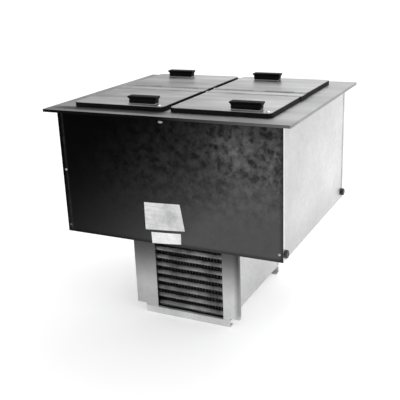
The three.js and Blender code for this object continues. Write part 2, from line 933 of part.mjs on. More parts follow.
// One blade of the fan, pitched about its own length and turned to its place about the shaft
function fanBlade(turn) {
  const half = THREE.MathUtils.degToRad(bladeHalfAngle);
  const root = hubRadius / 2;
  const foot = root * Math.tan(half);
  const shape = new THREE.Shape([new THREE.Vector2(root, foot), new THREE.Vector2(root, -foot)]);
  shape.absarc(0, 0, bladeReach, -half, half);
  const sheet = pushed(shape, "y", [-bladeSheet / 2, bladeSheet / 2]);
  sheet.rotateX(THREE.MathUtils.degToRad(bladePitch));
  sheet.rotateY(turn * 2 * Math.PI);
  return solid(sheet.translate(airwayX, hubFront + hubLength / 2, fanRise));
}

function makeFan() {
  const centre = [airwayX, 0, fanRise];
  const hubBack = hubFront + hubLength;
  const boreStart = hubBack - boreDepth;
  const hub = rod(hubRadius, "y", [hubFront, hubBack], centre, smallSides);
  const bore = rod(shaftRadius + shaftPlay, "y", [boreStart, hubBack + overrun], centre, smallSides);
  const blades = Array.from({ length: bladeCount }, (_, i) => fanBlade(i / bladeCount));
  piece("fan_blade", cut(join(hub, ...blades), bore), aluminium);
  const tip = boreStart + seam;
  const back = motorFront + motorLength;
  const profile = [
    [0, tip],
    [shaftRadius, tip],
    [shaftRadius, motorFront - bossLength],
    [bossRadius, motorFront - bossLength],
    [bossRadius, motorFront],
    [motorRadius - motorRound, motorFront],
    [motorRadius, motorFront + motorRound],
    [motorRadius, back - motorRound],
    [motorRadius - motorRound, back],
    [bossRadius, back],
    [bossRadius, back + bossLength],
    [0, back + bossLength],
  ];
  piece("fan_motor", turned(profile, "y", centre, motorSides), blackPaint);
}

function makeBracket() {
  const centre = [airwayX, 0, fanRise];
  const range = [bracketBack - bracketDepth, bracketBack];
  const through = [range[0] - overrun, range[1] + overrun];
  const half = bracketWidth / 2;
  const wide = [airwayX - half, airwayX + half];
  const foot = [wide[0] + footSide, wide[1] - footSide];
  const body = join(
    rod(motorRadius + seam + bracketRim, "y", range, centre, motorSides),
    block(wide, range, [deckTop, fanRise]),
    block(foot, [range[0] + bracketDepth / 2, range[0] + footLength], [deckTop + seam, deckTop + railSheet]),
  );
  piece("fan_bracket", cut(body, rod(motorRadius + seam, "y", through, centre, motorSides)), galvanised);
}

// Compressor: a welded shell on a foot plate, standing on four grommets
const compressorX = -20;
const motorGap = 37;
const passGap = 35;
const roomFront = motorFront + motorLength + bossLength + motorGap;
const roomRear = passY - passGap;
const compressorPlace = [compressorX, (roomFront + roomRear) / 2];
const seamRib = 5;
const shellRadius = (roomRear - roomFront) / 2 - seamRib;
const shellBottom = 51;
const shellHeight = 157;
const shellShares = [
  [0, 0],
  [0.74, 0],
  [0.94, 0.05],
  [1, 0.14],
  [1, 0.76],
  [0.92, 0.87],
  [0.72, 0.94],
  [0.4, 0.985],
  [0, 1],
];
const seamLevelShare = 0.5;
const platePlace = 49.2;
const plateSheet = 3;
const plateClear = 26.5;
const plateTuck = 4;
const plateHalf = [panX - plateClear, shellRadius - plateTuck];
const plateCorner = 16;
const footInset = 14;
const footPlaces = plateHalf.map((half) => half - footInset);
const grommetRadius = 11;
const grommetWaist = 8;

function compressorShell(grow) {
  const [x, y] = compressorPlace;
  const profile = shellShares.map(([wide, high]) => [
    wide * (shellRadius + grow),
    shellBottom - grow + high * (shellHeight + 2 * grow),
  ]);
  const level = shellBottom + seamLevelShare * shellHeight;
  const rib = [level - seamRib / 2 - grow, level + seamRib / 2 + grow];
  return join(
    turned(profile, "z", [x, y, 0]),
    rod(shellRadius + seamRib + grow, "z", rib, [x, y, 0]),
  );
}

function makeCompressor() {
  const plate = roundedShape(...plateHalf, plateCorner, compressorPlace);
  const body = join(compressorShell(0), prism(plate, "z", [platePlace, platePlace + plateSheet]));
  piece("compressor", body, blackPaint);
  const [low, high] = [deckTop, platePlace - seam];
  const quarter = (high - low) / 4;
  const profile = [
    [0, low],
    [grommetRadius, low],
    [grommetRadius, low + quarter],
    [grommetWaist, low + 2 * quarter],
    [grommetRadius, high - quarter],
    [grommetRadius, high],
    [0, high],
  ];
  for (const [sideName, side] of [["left", -1], ["right", 1]]) {
    for (const [endName, end] of [["front", -1], ["rear", 1]]) {
      const x = compressorPlace[0] + side * footPlaces[0];
      const y = compressorPlace[1] + end * footPlaces[1];
      const grommet = turned(profile, "z", [x, y, 0], smallSides);
      piece(`${sideName}_${endName}_grommet`, grommet, rubber);
    }
  }
}

// Relay cover: a moulded box clipped to the compressor's side
const coverReach = 36;
const coverHalf = 28;
const coverRange = [95, 165];

function makeRelayCover() {
  const [x, y] = compressorPlace;
  const wide = [x + shellRadius / 2, x + shellRadius + coverReach];
  const box = block(wide, [y - coverHalf, y + coverHalf], coverRange);
  piece("relay_cover", cut(box, compressorShell(seam)), blackPlastic);
}

// Refrigerant lines between the compressor, the condenser, the drier and the evaporator
const lineRadius = 3.2;
const lineBend = 12;
const lineFromWall = 20;
const lineX = lineFromWall - machineX;
const dischargeX = -45;
const dischargeTop = 268;
const suctionLevel = 160;
const liquidLevel = 72;
const liquidFromPass = 20;
const liquidY = passY - liquidFromPass;
const drierRadius = 10;
const drierTaper = 16;

function makeLines() {
  const [shellX, shellY] = compressorPlace;
  const shell = compressorShell(seam);
  const stub = condenserX[0] - stubLength - seam;
  const suction = [
    [suctionX, passY, suctionTop],
    [suctionX, passY, suctionLevel],
    [suctionX, shellY, suctionLevel],
  ];
  piece("suction_line", cut(pipe(suction, tubeRadius, tubeBend), shell), copper);
  const discharge = [
    [dischargeX, shellY, shellBottom + shellHeight / 2],
    [dischargeX, shellY, dischargeTop],
    [lineX, shellY, dischargeTop],
    [lineX, condenserY, dischargeTop],
    [lineX, condenserY, rowLevel(rowCount - 1)],
    [stub, condenserY, rowLevel(rowCount - 1)],
  ];
  piece("discharge_line", cut(pipe(discharge, lineRadius, lineBend), shell), copper);
  const [drierX, drierY] = drierPlace;
  const liquid = [
    [stub, condenserY, rowLevel(0)],
    [lineX, condenserY, rowLevel(0)],
    [lineX, condenserY, liquidLevel],
    [lineX, liquidY, liquidLevel],
    [drierX, liquidY, liquidLevel],
    [drierX, drierY, liquidLevel],
    [drierX, drierY, drierBottom + drierTaper],
  ];
  const profile = [
    [0, drierBottom],
    [lineRadius + seam, drierBottom],
    [drierRadius, drierBottom + drierTaper],
    [drierRadius, drierTop - drierTaper],
    [lineRadius, drierTop],
    [0, drierTop],
  ];
  const drier = turned(profile, "z", [drierX, drierY, 0], smallSides);
  piece("filter_drier_line", join(pipe(liquid, lineRadius, lineBend), drier), copper);
}

// Thermostat and its knob
function makeThermostat() {
  const inner = -(machineX - panelSheet - seam);
  const half = thermostatBox / 2;
  const centre = [0, thermostatY, thermostatRise];
  const box = block(
    [inner, inner + thermostatDepth],
    [thermostatY - half, thermostatY + half],
    [thermostatRise - half, thermostatRise + half],
  );
  const tip = -machineX - shaftReach;
  const shaft = rod(shaftRadius, "x", [tip, inner + overrun], centre, smallSides);
  piece("thermostat", join(box, shaft), blackPlastic);
  const profile = [
    [0, shaftReach],
    [shaftRadius + shaftPlay, shaftReach],
    [shaftRadius + shaftPlay, 0],
    [knobRadius, 0],
    [knobRadius, knobSkirt],
    [knobGrip, knobSkirt + knobRidge / 2],
    [knobGrip - knobRidge / 2, knobHeight],
    [0, knobHeight],
  ];
  const dial = turned(profile, "x", [0, 0, 0]);
  const along = [knobSkirt / 2, knobHeight + knobRidge / 2];
  const ridge = block(along, [-knobRidge / 2, knobRidge / 2], [knobGrip / 2, knobRadius - knobRidge]);
  const knob = piece("thermostat_knob", join(dial, ridge), blackPlastic);
  knob.position.set(-machineX - seam, thermostatY, thermostatRise);
  knob.rotation.z = Math.PI;
}

// Lid sets: a hinge strip across each opening, with a leaf hinged along each of its edges
const hingeHalf = 28.5;
const knuckleOuter = 3.2;
const knuckleInner = 1.9;
const pinRadius = 1.5;
const pinShort = 1;
const knuckleGap = 0.5;
const leafClear = 0.7;
const stripDrop = 0.5;
const tabInset = 1;
const tabSunk = 0.15;
const stripLedge = 7.5;
const restLevel = flangeTop + seam;
const edgeWidth = 4;
const edgeInset = 1.5;
const coreRise = 2;
const knuckleShares = [0, 0.13, 0.435, 0.565, 0.87, 1];
const handleShift = { front: 68, rear: -51 };
const handleBase = 84;
const handleLip = 96;
const handleHeight = 21.5;
const handleDepth = 28;
const handleFromEdge = 24;
const handleScoop = 6;
const leafInner = knuckleOuter + leafClear;
const leafOuter = lidLength / 2 - hingeHalf;
const restDrop = restLevel - lidTop;

// Knuckles round a hinge line at z = 0, with tabs toward the sheet that owns every other span
function knuckles(first, hingeY, toward, drop) {
  const parts = [];
  const near = hingeY + (toward * (knuckleOuter + knuckleInner)) / 2;
  const far = hingeY + toward * (leafInner + edgeInset);
  for (let i = first; i < knuckleShares.length - 1; i += 2) {
    const [from, to] = [knuckleShares[i], knuckleShares[i + 1]];
    const low = (from - 1 / 2) * lidWidth + (from > 0 ? knuckleGap / 2 : 0);
    const high = (to - 1 / 2) * lidWidth - (to < 1 ? knuckleGap / 2 : 0);
    const tube = rod(knuckleOuter, "x", [low, high], [0, hingeY, 0], smallSides);
    const bore = rod(knuckleInner, "x", [low - overrun, high + overrun], [0, hingeY, 0], tubeSides);
    parts.push(cut(tube, bore));
    const tab = [low + tabInset, high - tabInset];
    parts.push(block(tab, [near, far], [-drop - tabSunk, -drop - topSheet + tabSunk]));
  }
  return join(...parts);
}

// A leaf's outline seen from above: square along the hinge, round at the two outer corners
function leafShape(inset, near, far) {
  const half = lidWidth / 2 - inset;
  const radius = lidCorner - inset;
  const shape = new THREE.Shape();
  shape.moveTo(-half, near);
  shape.lineTo(half, near);
  shape.absarc(half - radius, far - radius, radius, 0, Math.PI / 2);
  shape.absarc(radius - half, far - radius, radius, Math.PI / 2, Math.PI);
  shape.closePath();
  return shape;
}

function makeHandle(shift) {
  const far = leafOuter - handleFromEdge;
  const near = far - handleDepth;
  const ends = outline([
    [shift - handleBase / 2, seam],
    [shift + handleBase / 2, seam],
    [shift + handleLip / 2, handleHeight],
    [shift - handleLip / 2, handleHeight],
  ]);
  const body = prism(ends, "y", [near, far]);
  const scoopRadius = handleHeight / 2 - handleScoop / 4;
  const level = handleHeight / 2;
  const wide = [shift - handleLip, shift + handleLip];
  const scoops = [near - scoopRadius + handleScoop, far + scoopRadius - handleScoop].map((y) =>
    rod(scoopRadius, "x", wide, [0, y, level], smallSides),
  );
  return cut(body, ...scoops);
}

function makeLeaf(name, group, shift) {
  const skinFar = leafOuter - edgeInset;
  const sheet = prism(leafShape(edgeInset, leafInner, skinFar), "z", [-topSheet, 0], lidSteps);
  piece(`${name}_skin`, join(sheet, knuckles(1, 0, 1, 0)), stainless, group);
  const top = -topSheet - seam;
  const inset = (by) => leafShape(by, leafInner + by, leafOuter - by);
  const ring = prism(inset(0), "z", [restDrop, top], lidSteps);
  const hollow = prism(inset(edgeWidth), "z", [restDrop - overrun, top + overrun], lidSteps);
  const ledgeTop = restDrop + topSheet + seam;
  const ledge = block([-lidWidth, lidWidth], [0, stripLedge + seam], [restDrop - overrun, ledgeTop]);
  piece(`${name}_edge`, cut(ring, hollow, ledge), blackVinyl, group);
  const core = prism(inset(edgeWidth + seam), "z", [restDrop + coreRise, top], lidSteps);
  piece(`${name}_core`, core, whitePlastic, group);
  piece(`${name}_handle`, makeHandle(shift), blackPlastic, group);
}

function makeStrip(name, group) {
  const web = hingeHalf - leafInner;
  const foot = hingeHalf + stripLedge;
  const roof = -stripDrop;
  const half = lidWidth / 2;
  const hat = outline([
    [-foot, restDrop],
    [foot, restDrop],
    [foot, restDrop + topSheet],
    [web, restDrop + topSheet],
    [web, roof],
    [-web, roof],
    [-web, restDrop + topSheet],
    [-foot, restDrop + topSheet],
  ]);
  const under = block(
    [topSheet - half, half - topSheet],
    [topSheet - web, web - topSheet],
    [restDrop - overrun, roof - topSheet],
  );
  const strip = join(
    cut(prism(hat, "x", [-half, half]), under),
    knuckles(0, hingeHalf, -1, stripDrop),
    knuckles(0, -hingeHalf, 1, stripDrop),
  );
  piece(`${name}_hinge_strip`, strip, stainless, group);
}

function makeLidSet(name, centre) {
  const set = new THREE.Group();
  set.position.set(centre, 0, lidTop);
  cabinet.add(set);
  makeStrip(name, set);
  for (const [end, side] of [["front", -1], ["rear", 1]]) {
    const hinge = new THREE.Group();
    hinge.position.set(0, side * hingeHalf, 0);
    hinge.rotation.z = side < 0 ? Math.PI : 0;
    set.add(hinge);
    makeLeaf(`${name}_${end}_leaf`, hinge, side * handleShift[end]);
    const pinEnd = lidWidth / 2 - pinShort;
    const pin = rod(pinRadius, "x", [-pinEnd, pinEnd], [0, 0, 0], tubeSides);
    piece(`${name}_${end}_hinge_pin`, pin, zincPlate, hinge);
  }
}

makeTop();
makeGasket();
makePanels();
makePlugs();
makeCollar();
makeLiner();
piece("evaporator_coil", evaporatorTube(0), copper);
makeFoam();
makeFloor();
makeBase();
makeFrontFrame();
makeGrille();
makeHousingWalls();
makeRearPanel();
makeGland();
makeCondenser();
makeShroud();
makeFan();
makeBracket();
makeCompressor();
makeRelayCover();
makeLines();
makeThermostat();
makeLidSet("left", openingCentres[0]);
makeLidSet("right", openingCentres[1]);

export default cabinet;
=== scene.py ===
"""A drop-in ice cream dipping cabinet, dressed for its studio portrait.

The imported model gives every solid. Each section below finishes one piece or one group of like pieces
and adds the small things that lie on it. Lengths are in metres, +Z up, and the front faces -Y.
"""

import math
from collections import namedtuple

import bmesh
import bpy
from mathutils import Matrix, Vector


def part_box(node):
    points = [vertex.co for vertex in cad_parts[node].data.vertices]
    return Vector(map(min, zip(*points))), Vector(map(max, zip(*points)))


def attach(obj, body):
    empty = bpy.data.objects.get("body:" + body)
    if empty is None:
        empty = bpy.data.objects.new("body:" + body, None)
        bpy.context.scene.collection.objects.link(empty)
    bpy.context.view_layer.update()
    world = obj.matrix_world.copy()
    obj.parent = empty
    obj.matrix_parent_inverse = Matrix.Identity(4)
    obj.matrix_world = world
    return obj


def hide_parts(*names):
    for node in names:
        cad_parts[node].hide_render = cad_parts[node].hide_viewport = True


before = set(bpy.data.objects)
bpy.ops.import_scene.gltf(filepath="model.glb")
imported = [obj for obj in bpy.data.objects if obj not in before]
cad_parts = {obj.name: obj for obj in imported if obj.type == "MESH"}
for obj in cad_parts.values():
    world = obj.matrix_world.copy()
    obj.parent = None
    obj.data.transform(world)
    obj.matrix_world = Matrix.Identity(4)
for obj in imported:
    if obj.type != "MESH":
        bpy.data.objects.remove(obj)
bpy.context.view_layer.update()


# The camera stands to the right of the front, a little above the lids, and leans by two degrees.
# Its place and lens follow from the vanishing points of the cabinet's long straight edges.
VIEW_FROM = Vector((0.9469, -1.9726, 1.0787))
VIEW_YAW, VIEW_PITCH, VIEW_ROLL = -0.4647, -0.3274, -0.0399
LENS_MM, SENSOR_MM = 63.38, 36.0
SIGHT_REACH = 200.0


def camera_matrix(place, yaw, pitch, roll):
    """Where the camera stands and how it is turned, in radians. Yaw 0 looks straight to the rear."""
    ahead = Vector((math.sin(yaw) * math.cos(pitch), math.cos(yaw) * math.cos(pitch), math.sin(pitch)))
    level = Vector((math.cos(yaw), -math.sin(yaw), 0.0))
    above = level.cross(ahead)
    right = level * math.cos(roll) + above * math.sin(roll)
    up = above * math.cos(roll) - level * math.sin(roll)
    axes = Matrix((right, up, -ahead)).transposed().to_4x4()
    return Matrix.Translation(place) @ axes


def link(name, data):
    """Puts a new object into the scene."""
    made = bpy.data.objects.new(name, data)
    bpy.context.scene.collection.objects.link(made)
    return made


camera = link("camera", bpy.data.cameras.new("camera"))
camera.data.sensor_width = SENSOR_MM
camera.data.lens = LENS_MM
camera.data.clip_end = SIGHT_REACH
camera.matrix_world = camera_matrix(VIEW_FROM, VIEW_YAW, VIEW_PITCH, VIEW_ROLL)
bpy.context.scene.camera = camera
bpy.context.scene.view_settings.view_transform = "Standard"


# The studio: a wide pale floor and a soft surround that is dim on the left and bright on the right,
# with one large soft lamp at the right and one above. The lids mirror the surround's dim end.
FLOOR_REACH = 60.0
FLOOR_PALE, FLOOR_ROUGHNESS, FLOOR_GLOW = (0.86, 0.86, 0.86, 1.0), 0.9, 0.34
PURE_WHITE = (1.0, 1.0, 1.0, 1.0)
SURROUND_FROM, SURROUND_TO = -0.68, -0.26
SURROUND_DIM, SURROUND_BRIGHT = 0.32, 1.0
SOFT_LAMPS = [  # name, place, what it aims at, width and height, watts
    ("lamp_right", (3.2, -0.6, 2.2), (0.2, 0.0, 0.4), (2.4, 2.4), 14),
    ("lamp_over", (0.4, 1.6, 3.2), (0.0, 0.0, 0.5), (2.6, 2.0), 22)]


def feed(tree, node, sockets):
    """Fills a node's sockets. Each takes either a plain value or another node's output."""
    for key, value in dict(sockets).items():
        if isinstance(value, bpy.types.NodeSocket):
            tree.links.new(value, node.inputs[key])
        else:
            node.inputs[key].default_value = value


def add(tree, kind, sockets=(), **settings):
    """Adds a node, makes its settings and fills its sockets."""
    made = tree.nodes.new(kind)
    for key, value in settings.items():
        setattr(made, key, value)
    feed(tree, made, sockets)
    return made


def ranged(tree, value, low, high, to_low=0.0, to_high=1.0, ease="LINEAR"):
    """Maps a value from one range onto another, and holds it there outside of it."""
    return add(tree, "ShaderNodeMapRange", {
        "Value": value, "From Min": low, "From Max": high, "To Min": to_low, "To Max": to_high},
        interpolation_type=ease).outputs["Result"]


def mixed(tree, share, first, second, kind="RGBA", **settings):
    """Runs from the first to the second as the share goes from 0 to 1, or multiplies them.

    A Mix node's sockets have the same names for every kind of data, so they are taken by number.
    """
    low, high, out = (6, 7, 2) if kind == "RGBA" else (2, 3, 0)
    made = add(tree, "ShaderNodeMix", {0: share, low: first, high: second}, data_type=kind, **settings)
    return made.outputs[out]


def split(tree, vector):
    """The X, Y and Z of a vector."""
    return add(tree, "ShaderNodeSeparateXYZ", {0: vector}).outputs


def blank_material(name):
    """A new material with its Principled shader, which every finish below starts from."""
    material = bpy.data.materials.new(name)
    material.use_nodes = True
    tree = material.node_tree
    return material, tree, tree.nodes["Principled BSDF"]


def mesh_object(name, points, faces, smooth=False):
    """A new object from points and faces."""
    mesh = bpy.data.meshes.new(name)
    mesh.from_pydata([tuple(p) for p in points], [], faces)
    mesh.update()
    for face in mesh.polygons:
        face.use_smooth = smooth
    return link(name, mesh)


def soft_lamp(name, place, aim, size, watts):
    """A large area lamp that is turned to what it aims at."""
    lamp = bpy.data.lights.new(name, "AREA")
    lamp.shape = "RECTANGLE"
    lamp.size, lamp.size_y = size
    lamp.energy = watts
    made = link(name, lamp)
    made.location = place
    made.rotation_euler = (Vector(aim) - Vector(place)).to_track_quat("-Z", "Y").to_euler()


corners = [(x * FLOOR_REACH, y * FLOOR_REACH, 0.0) for x, y in ((-1, -1), (1, -1), (1, 1), (-1, 1))]
floor = mesh_object("studio_floor", corners, [(0, 1, 2, 3)])
floor_paint, tree, shader = blank_material("studio_floor_paint")
feed(tree, shader, {
    "Base Color": FLOOR_PALE, "Roughness": FLOOR_ROUGHNESS,
    "Emission Color": PURE_WHITE, "Emission Strength": FLOOR_GLOW})
floor.data.materials.append(floor_paint)

surround = bpy.data.worlds.new("studio_surround")
bpy.context.scene.world = surround
surround.use_nodes = True
sky = surround.node_tree
rightward = split(sky, add(sky, "ShaderNodeTexCoord").outputs["Generated"])["X"]
side_light = ranged(
    sky, rightward, SURROUND_FROM, SURROUND_TO, SURROUND_DIM, SURROUND_BRIGHT, "SMOOTHSTEP")
seen = add(sky, "ShaderNodeLightPath").outputs["Is Camera Ray"]
backdrop = mixed(sky, seen, side_light, 1.0, "FLOAT")
feed(sky, sky.nodes["Background"], {"Strength": backdrop, "Color": PURE_WHITE})
for lamp in SOFT_LAMPS:
    soft_lamp(*lamp)


# Counter top: a stainless sheet with its rim and the lips of both openings turned down. It is brushed
# along its length and smeared by handling. Painted shade darkens its front rim, most at the left, its
# side rim, and the sheet toward its front edge and its left end. A painted shadow of the left front lid
# lies on the sheet in front of it.
GREY_COOLNESS = 1.01
ALONG_X = (5.0, 900.0, 900.0)
GRAIN_STRENGTH, GRAIN_HEIGHT = 0.05, 0.0002
SMEAR_STRETCH, SMEAR_EDGES = (0.35, 1.7, 1.0), (0.36, 0.64)
WAVE_SCALE = 7.0
RIM_SKIN = 0.0005
RIM_SHADE_LEFT, RIM_SHADE_RIGHT, SIDE_RIM_SHADE = 0.01, 0.30, 0.72
FRONT_SHADE_SHARE, FRONT_SHADE_WIDE = 0.74, 0.09
LEFT_END_SHADE = 0.78
# Where the painted shadow of the front lids lies on the sheet, how wide and deep it is, and how long.
LID_SHADOW_IN, LID_SHADOW_WIDE, LID_SHADOW_CORE, LID_SHADOW_DEPTH = 0.042, 0.026, 0.4, 0.75
LID_SHADOW_AT, LID_SHADOW_LONG, LID_SHADOW_CORE_LONG = -0.18, 0.23, 0.6


def effect(name, inputs, outputs):
    """Starts a node group for an effect that several finishes share."""
    tree = bpy.data.node_groups.new(name, "ShaderNodeTree")
    for label, kind, value in inputs:
        tree.interface.new_socket(name=label, in_out="INPUT", socket_type=kind).default_value = value
    for label in outputs:
        tree.interface.new_socket(name=label, in_out="OUTPUT", socket_type="NodeSocketFloat")
    return tree, tree.nodes.new("NodeGroupInput").outputs, tree.nodes.new("NodeGroupOutput")


def spot_of(tree):
    """Where each point of a piece lies in the cabinet's own frame."""
    return add(tree, "ShaderNodeTexCoord").outputs["Object"]


def stretched(tree, vector, factors):
    """A vector with each of its parts multiplied by a factor."""
    return add(tree, "ShaderNodeVectorMath", {0: vector, 1: factors}, operation="MULTIPLY").outputs[0]


def noise(tree, vector, scale, detail, roughness=0.5):
    """A cloudy value between 0 and 1. Detail adds finer clouds, and roughness makes these stronger."""
    return add(tree, "ShaderNodeTexNoise", {
        "Vector": vector, "Scale": scale, "Detail": detail, "Roughness": roughness}).outputs[0]


def brushed_effect():
    """Fine drawn lines along one axis, smears that are longest along X, and slow waves of the sheet."""
    tree, given, out = effect(
        "brushed_grain",
        [("Stretch", "NodeSocketVector", ALONG_X), ("Smear Scale", "NodeSocketFloat", 6.0)],
        ("Grain", "Smear", "Wave"))
    place = spot_of(tree)
    smears = noise(tree, stretched(tree, place, SMEAR_STRETCH), given["Smear Scale"],
                   detail=5.0, roughness=0.6)
    feed(tree, out, {
        "Grain": noise(tree, stretched(tree, place, given["Stretch"]), scale=1.0, detail=3.0),
        "Smear": ranged(tree, smears, *SMEAR_EDGES),
        "Wave": noise(tree, place, WAVE_SCALE, detail=1.0)})
    return tree


def calc(tree, operation, first, *others):
    """Arithmetic on values or outputs, from left to right."""
    for other in others or (0.0,):
        first = add(tree, "ShaderNodeMath", {0: first, 1: other}, operation=operation).outputs[0]
    return first


def off_by(tree, value, target):
    """How far a value lies from its target, to either side."""
    return calc(tree, "ABSOLUTE", calc(tree, "SUBTRACT", value, target))


def bump(tree, height, distance, strength=1.0, under=None):
    """Relief from a height that is at most as deep as the distance. It may lie over another relief."""
    sockets = {"Height": height, "Strength": strength, "Distance": distance}
    if under is not None:
        sockets["Normal"] = under
    return add(tree, "ShaderNodeBump", sockets).outputs[0]


def grey(tone):
    """A neutral tone, a very little cooler than pure grey."""
    return (tone, tone, tone * GREY_COOLNESS, 1.0)


def greys(dull, bright):
    """The two tones between which a finish varies."""
    return grey(dull), grey(bright)


Finish = namedtuple("Finish", "material tree shader tone mask")
brushed_grain = brushed_effect()


def steel_finish(name, tones, rough, stretch=ALONG_X, smears=6.0, wave_depth=0.0):
    """Stainless sheet: the grain and the waves set its relief, the smears its gloss, and both its tone."""
    material, tree, shader = blank_material(name)
    look = add(tree, "ShaderNodeGroup", {"Stretch": stretch, "Smear Scale": smears},
               node_tree=brushed_grain).outputs
    mask = calc(tree, "MULTIPLY", look["Grain"], look["Smear"])
    tone = mixed(tree, mask, *tones)
    swell = bump(tree, look["Wave"], wave_depth)
    feed(tree, shader, {
        "Base Color": tone, "Metallic": 1.0,
        "Roughness": ranged(tree, look["Smear"], 0.0, 1.0, *rough),
        "Normal": bump(tree, look["Grain"], GRAIN_HEIGHT, GRAIN_STRENGTH, swell)})
    return Finish(material, tree, shader, tone, mask)


def shaded(finish, share):
    """Multiplies a finish's tone by a share that changes over the surface, to paint light and shade on it.
    """
    tree = finish.tree
    grey_share = add(tree, "ShaderNodeCombineColor", {0: share, 1: share, 2: share}).outputs[0]
    darker = mixed(tree, 1.0, finish.tone, grey_share, blend_type="MULTIPLY")
    feed(tree, finish.shader, {"Base Color": darker})


def dress(material, *names):
    """Gives CAD nodes their finish."""
    for name in names:
        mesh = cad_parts[name].data
        mesh.materials.clear()
        mesh.materials.append(material)


top_low, top_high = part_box("top_frame")
top = steel_finish("top_sheet_steel", greys(0.40, 0.66), (0.42, 0.56))
tree = top.tree
spot = split(tree, spot_of(tree))
# Painted shade: the sheet darkens toward its front edge and toward its left end.
front_shade = ranged(
    tree, spot["Y"], top_low.y, top_low.y + FRONT_SHADE_WIDE, FRONT_SHADE_SHARE, 1.0, "SMOOTHSTEP")
left_end_shade = ranged(tree, spot["X"], top_low.x, 0.0, LEFT_END_SHADE, 1.0, "SMOOTHSTEP")
# Painted shadow of the front lids: a dark band on the sheet just in front of them, at the left.
lid_shadow_across = ranged(tree, off_by(tree, spot["Y"], top_low.y + LID_SHADOW_IN),
                      LID_SHADOW_WIDE * LID_SHADOW_CORE, LID_SHADOW_WIDE, LID_SHADOW_DEPTH, 0.0, "SMOOTHSTEP")
lid_shadow_along = ranged(tree, off_by(tree, spot["X"], LID_SHADOW_AT),
                     LID_SHADOW_LONG * LID_SHADOW_CORE_LONG, LID_SHADOW_LONG, 1.0, 0.0, "SMOOTHSTEP")
unshadowed = calc(tree, "SUBTRACT", 1.0, calc(tree, "MULTIPLY", lid_shadow_across, lid_shadow_along))
sheet_shade = calc(tree, "MULTIPLY", front_shade, unshadowed, left_end_shade)
# Painted shade on the rim: near black at the front left, grey at the front right, and darker on the side.
front_rim = calc(tree, "LESS_THAN", spot["Y"], top_low.y + RIM_SKIN)
front_rim_shade = ranged(tree, spot["X"], 0.0, top_high.x, RIM_SHADE_LEFT, RIM_SHADE_RIGHT)
share = mixed(tree, front_rim, sheet_shade, front_rim_shade, "FLOAT")
side_rim = calc(tree, "GREATER_THAN", spot["X"], top_high.x - RIM_SKIN)
side_rim_shade = ranged(tree, side_rim, 0.0, 1.0, 1.0, SIDE_RIM_SHADE)
shaded(top, calc(tree, "MULTIPLY", share, side_rim_shade))
dress(top.material, "top_frame")


# Lids: stainless skins over white moulded cores, with a black vinyl trim round each leaf. The skins
# are brushed along the hinges, wiped into long smears and slightly wavy, as thin sheet is.
SIDES = ("left", "right")
ENDS = ("front", "rear")
LEAVES = [f"{side}_{end}_leaf" for side in SIDES for end in ENDS]
LID_WAVE = 0.0024
DUST_EDGES = (0.4, 0.75)
STIPPLE_STRENGTH = 0.3


def brushed_steel(name, tones, rough, *scales, **named_scales):
    """The material alone of a steel finish, for a piece that needs no shading of its own."""
    return steel_finish(name, tones, rough, *scales, **named_scales).material


def moulded_effect():
    """The stipple of a moulded surface, and soft dust that lies in it."""
    tree, given, out = effect(
        "moulded_stipple",
        [("Stipple Scale", "NodeSocketFloat", 900.0), ("Dust Scale", "NodeSocketFloat", 14.0)],
        ("Stipple", "Dust"))
    place = spot_of(tree)
    dust = noise(tree, place, given["Dust Scale"], detail=6.0, roughness=0.7)
    feed(tree, out, {
        "Stipple": noise(tree, place, given["Stipple Scale"], detail=2.0),
        "Dust": ranged(tree, dust, *DUST_EDGES)})
    return tree


moulded_stipple = moulded_effect()


def moulded(name, tones, rough, stipple=900.0, relief_depth=0.0001, shine=0.5):
    """Moulded plastic, vinyl or rubber: dust lightens and dulls it, and the stipple gives its relief."""
    material, tree, shader = blank_material(name)
    look = add(tree, "ShaderNodeGroup", {"Stipple Scale": stipple}, node_tree=moulded_stipple).outputs
    feed(tree, shader, {
        "Base Color": mixed(tree, look["Dust"], *tones),
        "Roughness": ranged(tree, look["Dust"], 0.0, 1.0, *rough),
        "Normal": bump(tree, look["Stipple"], relief_depth, STIPPLE_STRENGTH),
        "Specular IOR Level": shine})
    return material


lid_steel = brushed_steel("lid_skin_steel", greys(0.36, 0.90), (0.28, 0.40), smears=9.0, wave_depth=LID_WAVE)
trim_vinyl = moulded("lid_trim_vinyl", greys(0.002, 0.008), (0.5, 0.7), shine=0.12)
core_white = moulded("lid_core_white", greys(0.72, 0.60), (0.35, 0.55))
for leaf in LEAVES:
    dress(lid_steel, f"{leaf}_skin")
    dress(trim_vinyl, f"{leaf}_edge")
    dress(core_white, f"{leaf}_core")


# Hinges: a raised stainless strip across each opening, with knuckles along both of its edges.
# The pins through the knuckles are bright drawn wire, and black vinyl caps close the strip's ends.
MM = 0.001
CAP_REACH, CAP_THICK, CAP_BEVEL = 0.3 * MM, 1.4 * MM, 0.4 * MM
CAP_SIDE_INSET, CAP_LOW_INSET, CAP_HIGH_INSET = 1.0 * MM, 0.5 * MM, 4.0 * MM


def slab(name, low, high, bevel):
    """A thin block with its edges broken."""
    shell = bmesh.new()
    bmesh.ops.create_cube(shell, size=1.0)
    for vertex in shell.verts:
        for axis in range(3):
            vertex.co[axis] = high[axis] if vertex.co[axis] > 0 else low[axis]
    bmesh.ops.bevel(shell, geom=shell.edges[:], offset=bevel, segments=2, affect="EDGES")
    mesh = bpy.data.meshes.new(name)
    shell.to_mesh(mesh)
    shell.free()
    return link(name, mesh)


